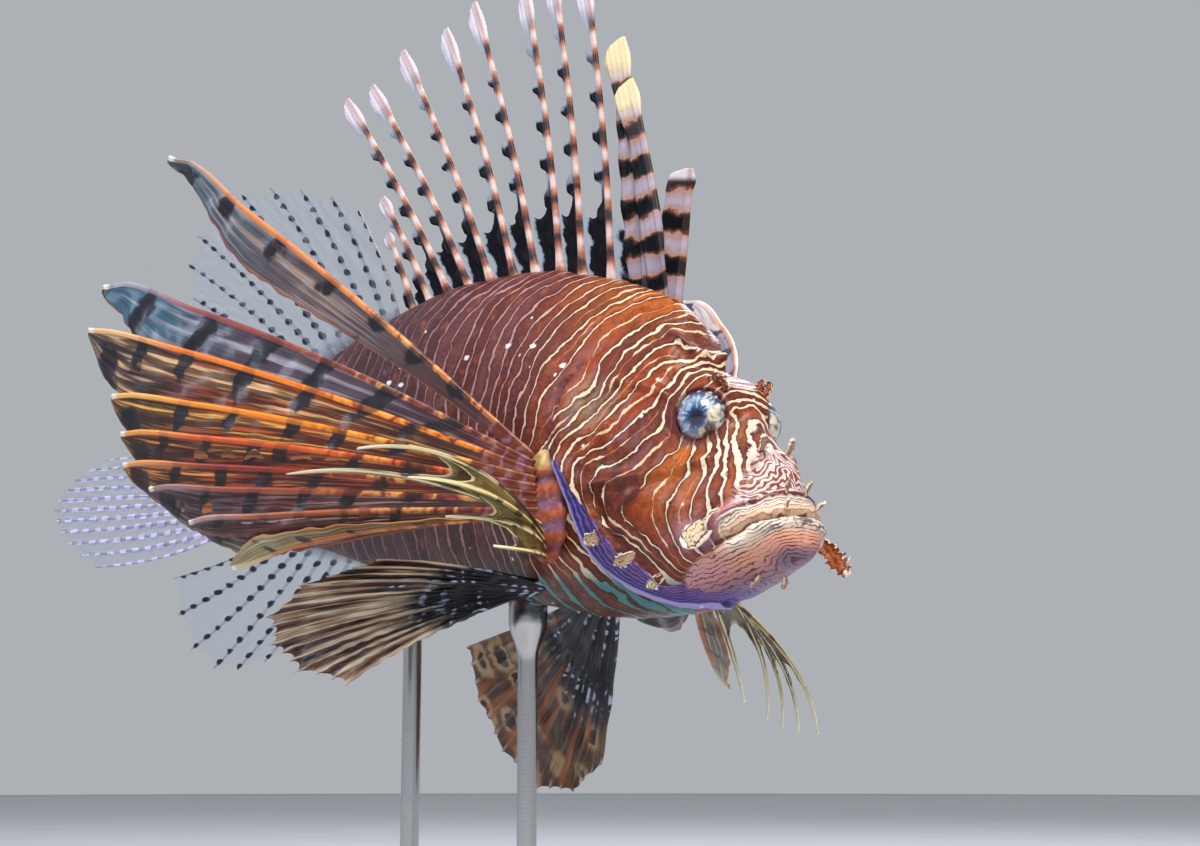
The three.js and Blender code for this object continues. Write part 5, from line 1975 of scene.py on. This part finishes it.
@dataclass
class Eye:
    """An eyeball in its collar, with a clear bulging cornea and a dark pupil."""

    side: Side
    rows: int = 90
    around: int = 120
    gaze: tuple[float, float, float] = (-0.56, 0.81, -0.12)
    pole: float = 0.004
    bulge: float = 0.25

    def build(self) -> None:
        """Makes the ball round its gaze; the cornea bulges a little at its front."""
        axis = unit(mirror(self.gaze, self.side))
        upward = unit(np.array([0, 0, 1]) - axis[2] * axis)
        across = np.cross(upward, axis)
        polar = np.linspace(self.pole, math.pi - self.pole, self.rows)[:, None]
        turn = np.linspace(0, 2 * math.pi, self.around, endpoint=False)[None]
        radius = EYE_RADIUS + self.bulge * bell(polar, 0.75)
        height = radius * np.cos(polar) * np.ones_like(turn)
        u, v = radius * np.sin(polar) * np.cos(turn), radius * np.sin(polar) * np.sin(turn)
        grid = height[..., None] * axis + u[..., None] * across + v[..., None] * upward
        turned = np.arctan2(v, u) * self.side
        facts = {
            "fore": -grid[..., 0], "rise": grid[..., 2], "off": EYE_RADIUS * polar * np.ones_like(turn),
            "cosine": np.cos(turned), "sine": np.sin(turned),
        }
        work = Patchwork(f"eyeball_{self.side.label}")
        work.tube(grid + mirror(EYE, self.side), facts)
        finish_piece(work.build(), EyeFinish().material(), "eye", f"eye_{self.side.label}")


class EyeFinish:
    """A real lionfish eye: wet cornea over a navy pupil in a blue-lilac iris, streaked with skin."""

    def material(self) -> Material:
        """Makes the finish from mm across, up and off the gaze.

        Returns:
            The material.
        """
        s = Surface("eyeball", Roughness=0.08, IOR=1.376, Coat_Weight=1)
        way = s.add("Mapping", Vector=s.add("CombineXYZ", "cosine", "sine", "off"), Scale=(3, 3, 0.25))
        spoke = s.add("TexNoise", Vector=way, Scale=1.6, Detail=3)
        noise = s.add("TexNoise", mm=2.2, Detail=3, Distortion=0.6)
        off = s.add("SUBTRACT", s.add("MULTIPLY_ADD", noise, 1.8, "off"), 0.9)
        colour = s.add("ValToRGB", s.add("DIVIDE", off, 9), stops=(
            (0, "#03060f"), (0.13, "#07112c"), (0.2, "#12285a"), (0.29, "#2c568e"), (0.4, "#6088ae"),
            (0.52, "#8ea4b8"), (0.62, "#4c6490"), (0.74, "#3c3c68"), (0.86, "#4c2830"),
        ))
        rays = s.add("MapRange", spoke, 0.52, 0.64, 0, 0.8)
        rays = s.add("MapRange", "off", 1.6, 3, 0, rays)
        patch = s.add("ValToRGB", s.add("TexNoise", mm=2.4, Detail=1, Distortion=0.6), stops=(
            (0.34, "#5c3a2c"), (0.42, "#7c8894"), (0.5, "#d8cdb2"), (0.62, "#efe8d8"),
        ))
        low = s.add("MULTIPLY_ADD", noise, 2.6, s.add("MULTIPLY_ADD", "rise", -0.45, "fore"))
        front = s.add("MULTIPLY", s.add("MapRange", low, 5.9, 6.5), s.add("MapRange", "off", 2.2, 3))
        under = s.add("MapRange", "rise", -4.7, -5.5, 0, 0.85)
        for share, over in ((rays, "#cfd8de"), (front, patch), (under, "#9a4e26")):
            colour = s.add("Mix", share, colour, over)
        return s.wire(Base_Color=colour)


@dataclass(frozen=True)
class Leaf:
    """A skin flap: a ragged leaf on a stalk, thick along its middle and curled at its rim."""

    root: Array
    tip: Array
    side: Sequence[float]
    half: float
    curl: float = 0.4
    lobes: float = 0.22
    seed: int = 1
    rust: float = 0.0
    fringe: float = 12.0
    steps: int = 60
    columns: int = 15

    def add(self, work: Patchwork) -> None:
        """Adds the flap.

        Args:
            work: the piece being made.
        """
        shape = curve_through(((0, 0.35), (0.3, 0.7), (0.65, 1), (0.9, 0.7), (1, 0.3)))
        t, s = np.meshgrid(
            np.linspace(0, 1, self.steps), np.linspace(-1, 1, self.columns), indexing="ij"
        )
        along = unit(self.tip - self.root)
        side = np.array(self.side, float)
        across = unit(side - (side @ along) * along)
        face = np.cross(along, across)
        beat = np.column_stack([t.ravel() * self.fringe, np.sign(s).ravel() * 3])
        edge = wobble(beat, 2.2, self.seed).reshape(s.shape)
        reach = s * (self.half * shape(t) * (1 + self.lobes * edge * smooth(t, 0.25, 0.6)))
        curled = self.curl * s**2 * np.sin(5 * t + self.seed)
        outer = np.abs(s)
        frilled = 0.8 * self.lobes * np.sin(9 * t + self.seed) * (outer > 0.5) * (outer - 0.5)
        grid = self.root + (self.tip - self.root) * t[..., None] + reach[..., None] * across
        grid = grid + curled[..., None] * face + frilled[..., None] * along
        half = 0.18 + 0.32 * np.sqrt(np.clip(1 - s**2, 0, 1)) * (1 - 0.5 * t)
        free = np.maximum(outer, smooth(t, 0.7, 1.0))
        work.shell(grid, half, face, {"t": t, "free": free, "rust": self.rust})


class FlapFinish:
    """Real skin flaps: thin frilled skin, brown mottled, with white worn-looking fringes."""

    def material(self) -> Material:
        """Makes the finish, whiter towards the flap's rim and tip.

        Returns:
            The material.
        """
        s = Surface("skin_flap", Roughness=0.5, IOR=1.38, Coat_Weight=0.15)
        noise = s.add("TexNoise", mm=1.6, Detail=3, Distortion=0.6)
        rim = s.add("MULTIPLY_ADD", s.add("MULTIPLY_ADD", noise, 1.2, "free"), 0.6, -0.15)
        cream = s.add("ValToRGB", rim, stops=(
            (0.2, "#6c4a34"), (0.26, "#d9c8a4"), (0.36, "#e0d0ac"), (0.4, "#6c3e28"), (0.45, "#e0d0ac"),
            (0.54, "#dccaa6"), (0.6, "#5a3220"), (0.66, "#6a3822"), (0.71, "#f4ead8"),
        ))
        rust = s.add("ValToRGB", rim, stops=(
            (0.24, "#6a2a14"), (0.42, "#a85c2a"), (0.58, "#7a3418"), (0.74, "#5a2014"), (0.84, "#f0dcc8"),
        ))
        colour = s.add("Mix", "rust", cream, rust)
        return s.wire(Base_Color=colour, Normal=s.add("Bump", Height=noise, mm=0.25))


@dataclass
class Flaps:
    """All the skin flaps of the face: over the eyes, at the nostrils, on the cheek and snout."""

    brow_root: tuple = (26, 5.6, 28.5)
    brow_tip: tuple = (25.6, 7.2, 33)
    shifts: tuple = (-1.6, 0, 1.7)
    nostril: tuple = ((13, 3.8, 14.2), (10.4, 4.2, 18.4))
    specks: tuple = (
        ((9.5, 3.4, -11.8), (11.4, 4.6, -15.2), 0.8), ((3.8, 2.6, 5.6), (2.2, 3.2, 8.9), 0.45),
        ((1.6, 4.2, 2.6), (-0.6, 5.0, 4.4), 0.4),
    )
    cheek: tuple = ((48, -4.2, 1.6), (40, -9, 1.7), (33, -13.4, 1.6))
    sunk: float = -0.6

    def brow(self, side: Side) -> None:
        """Makes a brow flap, three rusty leaves side by side over the eye.

        Args:
            side: the side that it is on.
        """
        work = Patchwork(f"brow_flaps_{side.label}")
        for i, shift in enumerate(self.shifts):
            root = mirror(self.brow_root, side) + [shift, 0, -0.4]
            tip = mirror(self.brow_tip, side) + [1.7 * shift, 0, -0.5 * abs(shift)]
            Leaf(root, tip, (-1, 0, 0), 1.3, curl=0.7, lobes=0.5, seed=3 + i, rust=1).add(work)
        finish_piece(work.build(), FlapFinish().material(), "flap", f"brow_tentacle_{side.label}")

    def snout(self, side: Side) -> None:
        """Makes the flap by the mouth's corner: laid back on the right, let down on the left.

        Args:
            side: the side that it is on.
        """
        if side is Side.RIGHT:
            root, tip = on_skin(13.5, side, 0.6, self.sunk), on_skin(22, side, -6.8, 2.4)
            leaf = Leaf(root, tip, (1, 0, 1), 3.5, curl=0.3, lobes=0.08, seed=8)
        else:
            root, tip = on_skin(12.5, side, -1.4, self.sunk), np.array([0.5, 13.5, -11])
            leaf = Leaf(root, tip, (1, 0, 1), 2.0, curl=0.9, lobes=0.45, seed=9, rust=1, fringe=26)
        work = Patchwork(f"snout_leaf_{side.label}")
        leaf.add(work)
        finish_piece(work.build(), FlapFinish().material(), "flap", f"snout_flap_{side.label}")

    def small(self) -> None:
        """The little flaps of both sides, which grow from the head's own solid."""
        work = Patchwork("face_flaps")
        for side in Side:
            root, tip = (mirror(point, side) for point in self.nostril)
            Leaf(root, tip, (0, 1, 0), 0.9, curl=0.5, lobes=0.3, seed=12, rust=0.5).add(work)
            for *ends, half in self.specks:
                root, tip = (mirror(point, side) for point in ends)
                Leaf(root, tip, (0.4, 1, 0), half, curl=0.3, lobes=0.3, seed=21, rust=0.7).add(work)
            for i, (back, up, half) in enumerate(self.cheek):
                root = on_skin(back, side, up, self.sunk)
                tip = on_skin(back + 4.6, side, up - 3.2, 2.6)
                leaf = Leaf(root, tip, (0.5, 0, -1), half, 0.7, 0.35, 14 + i, rust=0.4 * (i < 2))
                leaf.add(work)
        finish_piece(work.build(), FlapFinish().material(), "flap")

    def build(self) -> None:
        """Makes every flap."""
        for side in Side:
            self.brow(side)
            self.snout(side)
        self.small()


# Display stand


@dataclass
class Stand:
    """A rounded plate with two turned rods whose cups hold the belly."""

    length: float = 190
    width: float = 110
    thick: float = 12
    corner: float = 22
    bevel: float = 1.5
    rod: float = 2.5
    foot: float = 8
    cup: float = 5
    places: tuple = (99, 145)
    gap: float = 0.35
    around: int = 160
    rod_around: int = 48

    def ring(self, inset: float) -> Array:
        """The plate's outline.

        Args:
            inset: how many mm it is moved in.

        Returns:
            Its points as x and y.
        """
        turn = np.linspace(0, 2 * math.pi, self.around, endpoint=False)
        radius = max(self.corner - inset, 0.5)
        half = np.array([self.length / 2, self.width / 2]) - inset
        way = np.column_stack([np.cos(turn), np.sin(turn)])
        return np.sign(way) * (half - radius) + radius * way

    def build_base(self) -> None:
        """The plate with rounded rims."""
        b, h = self.bevel, self.thick
        turn = np.linspace(0, math.pi / 2, 7)
        rows = [(30, 0.0), (8, 0.0)]
        rows += [(b * (1 - math.sin(a)), b * (1 - math.cos(a))) for a in turn]
        rows += [(b * (1 - math.cos(a)), h - b * (1 - math.sin(a))) for a in turn]
        rows += [(8, h), (30, h)]
        grid = np.stack([np.column_stack([self.ring(i), np.full(self.around, z)]) for i, z in rows])
        work = Patchwork("stand_plate_base")
        inset = np.array([[min(i, 8)] for i, _ in rows], float)
        work.tube(grid, {"edge": np.tile(inset, (1, self.around))})
        plate = work.build(lambda points: points * MM)
        finish_piece(plate, PlateFinish().material(), "stand_plate", "stand_base")

    def build_rod(self, back: float, name: str) -> None:
        """A turned rod; its cup's rim follows the belly a little way below it.

        Args:
            back: where it holds the belly.
            name: the solid that it stands for.
        """
        turn = np.linspace(0, 2 * math.pi, self.rod_around, endpoint=False)
        top = POSE.place(np.array([back, 0, float(belly_line(back))])) / MM

        def ring(radius: float, height: Array | float) -> Array:
            """A ring of points round the rod at a height, one for all or one for each."""
            flat = top[:2] + radius * np.column_stack([np.cos(turn), np.sin(turn)])
            return np.column_stack([flat, 0 * turn + height])

        floor = self.thick + self.gap
        height = top[2] - 3.5
        profile = [
            (0.2, floor), (self.foot - 0.4, floor), (self.foot, floor + 0.4), (self.foot, floor + 2.1),
            (self.foot - 0.35, floor + 2.7), (self.foot - 1, floor + 3.3), (self.rod + 1.6, floor + 4.1),
            (self.rod + 0.7, floor + 5.2), (self.rod + 0.15, floor + 6.6), (self.rod, floor + 8),
        ]
        profile += [(self.rod, z) for z in np.linspace(floor + 12, height - 12, 12)]
        profile += [
            (self.rod + 0.1, height - 9.5), (self.rod + 0.8, height - 7), (self.rod + 1.8, height - 4.6),
            (self.cup - 0.1, height - 2.6), (self.cup, height - 1.5),
        ]
        rings = [ring(r, z) for r, z in profile]
        heading = (back - POSE.straight_at) / POSE.bend_radius
        for r, sink in ((self.cup, 0.5), (self.cup - 0.3, 0.15), (3.6, 0.1), (2.0, 0.1), (0.2, 0.1)):
            along = back - r * np.cos(turn - heading)
            out = r * np.sin(turn - heading)
            skin = trunk_point(along, np.arcsin(np.clip(out / breadth(along), -1, 1)))
            rings.append(ring(r, POSE.place(skin)[:, 2] / MM - self.gap - sink))
        work = Patchwork(name + "_turned")
        work.tube(np.stack(rings))
        rod = work.build(lambda points: points * MM)
        finish_piece(rod, RodFinish().material(), "stand_rod", name)

    def build(self) -> None:
        """Makes the plate and both rods."""
        self.build_base()
        for back, name in zip(self.places, ("stand_rod_front", "stand_rod_rear")):
            self.build_rod(back, name)


class PlateFinish:
    """Bead-blasted anodised aluminium: satin grey with a fine grain, lighter along its rounded rim."""

    def material(self) -> Material:
        """Makes the finish.

        Returns:
            The material.
        """
        s = Surface("stand_plate", IOR=1.45, Metallic=0.85)
        fine = s.add("TexNoise", mm=0.5)
        rim = s.add("MapRange", "edge", 1.6, 0.3)
        base = s.add("Mix", s.add("MapRange", s.add("TexNoise", mm=30), 0.3, 0.7), "#aeb0b3", "#bcbec0")
        colour = s.add("Mix", s.add("MULTIPLY", rim, 0.6), base, "#d6d7d8")
        rough = s.add("MapRange", fine, 0, 1, 0.36, 0.5)
        return s.wire(Base_Color=colour, Roughness=rough, Normal=s.add("Bump", Height=fine, mm=0.02))


class RodFinish:
    """Turned stainless steel: bright, with faint rings from the lathe."""

    def material(self) -> Material:
        """Makes the finish.

        Returns:
            The material.
        """
        s = Surface("stand_rod", IOR=1.45, Metallic=1)
        rings = s.add("TexWave", mm=10 / 3, Distortion=0.6, out="Fac", bands_direction="Z")
        colour = s.add("Mix", s.add("TexNoise", mm=12), "#b4b6b9", "#c4c5c8")
        rough = s.add("MapRange", s.add("TexNoise", mm=6), 0, 1, 0.22, 0.3)
        return s.wire(Base_Color=colour, Roughness=rough, Normal=s.add("Bump", Height=rings, mm=0.002))


# Floor, light and camera


@dataclass
class Stage:
    """A pale floor under a pale backdrop, soft studio lights and the camera."""

    floor: float = 3.0
    camera_at: tuple = (0.3601, -0.3409, 0.0563)
    heading: tuple = (-0.6841, 0.7084, 0.1736)
    lens: float = 57.6
    aim: tuple = (-0.02, 0, 0.14)
    lamps: tuple = (
        ("key", (0.55, -0.4, 1.0), 0.5, 14, "#fff2e2"), ("fill", (-0.6, -0.95, 0.9), 0.6, 6, "#dfe9ff"),
        ("rim", (-0.3, 0.7, 0.9), 0.5, 6, "#eef2ff"),
    )

    def build(self) -> None:
        """Makes the stage."""
        bpy.context.scene.view_settings.view_transform = "Standard"
        self.build_floor()
        self.build_world()
        self.build_lights()
        self.build_camera()

    def build_floor(self) -> None:
        """A disc of pale floor."""
        radii = np.linspace(0.02, 1, 24)[:, None, None] ** 2 * self.floor
        turn = np.linspace(0, 2 * math.pi, 96, endpoint=False)[None, :, None]
        ring = np.concatenate([radii * np.cos(turn), radii * np.sin(turn), np.zeros((24, 96, 1))], -1)
        lower = ring[::-1] - [0, 0, 0.002]
        work = Patchwork("floor")
        work.tube(np.concatenate([ring, lower]))
        floor = work.build(lambda p: p)
        s = Surface("floor_paper", Roughness=0.8, IOR=1.45)
        colour = s.add(
            "Mix", s.add("MapRange", s.add("TexNoise", mm=60, Detail=3), 0.3, 0.7), "#c3c6ca", "#c8cbce",
        )
        floor.data.materials.append(s.wire(Base_Color=colour))

    def build_world(self) -> None:
        """A pale grey surround."""
        world = bpy.data.worlds.new("studio")
        bpy.context.scene.world = world
        world.use_nodes = True
        colour, strength = world.node_tree.nodes["Background"].inputs[:2]
        colour.default_value, strength.default_value = rgba("#e2e7ed"), 0.55

    def build_lights(self) -> None:
        """A large key from above in front, a cool fill and a rim from behind."""
        for name, at, size, power, colour in self.lamps:
            lamp = bpy.data.lights.new(name, "AREA")
            lamp.size = size
            lamp.energy = power
            lamp.color = tuple(float(x) for x in linear(colour))
            made = bpy.data.objects.new(name, lamp)
            made.location = at
            made.rotation_euler = (Vector(self.aim) - Vector(at)).to_track_quat("-Z", "Y").to_euler()
            bpy.context.scene.collection.objects.link(made)

    def build_camera(self) -> None:
        """The photograph's camera: low, in front of the right eye, looking a little up."""
        lens = bpy.data.cameras.new("camera")
        lens.sensor_width = 36
        lens.lens = self.lens
        lens.clip_start = 0.01
        forward = Vector(self.heading).normalized()
        right = forward.cross(Vector((0, 0, 1))).normalized()
        upward = right.cross(forward)
        made = bpy.data.objects.new("camera", lens)
        turn = Matrix((right, upward, -forward)).transposed().to_4x4()
        made.matrix_world = Matrix.Translation(Vector(self.camera_at)) @ turn
        bpy.context.scene.collection.objects.link(made)
        bpy.context.scene.camera = made


def main() -> None:
    """Builds the stage, the fish and its stand."""
    Stage().build()
    TrunkSkin().build()
    for side in Side:
        Eye(side).build()
    Flaps().build()
    SpinyDorsal().build()
    SoftFin.median("dorsal_fin_soft", SOFT_DORSAL, back_line, 3, 1, 1).build()
    SoftFin.median("anal_fin", ANAL, belly_line, -3, -1, 2).build()
    SoftFin.caudal().build()
    Pectoral(PECTORAL_RIGHT, Side.RIGHT).build()
    Pectoral(PECTORAL_LEFT, Side.LEFT).build()
    Pelvic(PELVIC_RIGHT, Side.RIGHT).build()
    Pelvic(PELVIC_LEFT, Side.LEFT, bow=(2, 3, 0), notch=0.98).build()
    Stand().build()


if __name__ == "__main__":
    logging.basicConfig(level=logging.INFO, format="%(name)s: %(message)s")
    main()
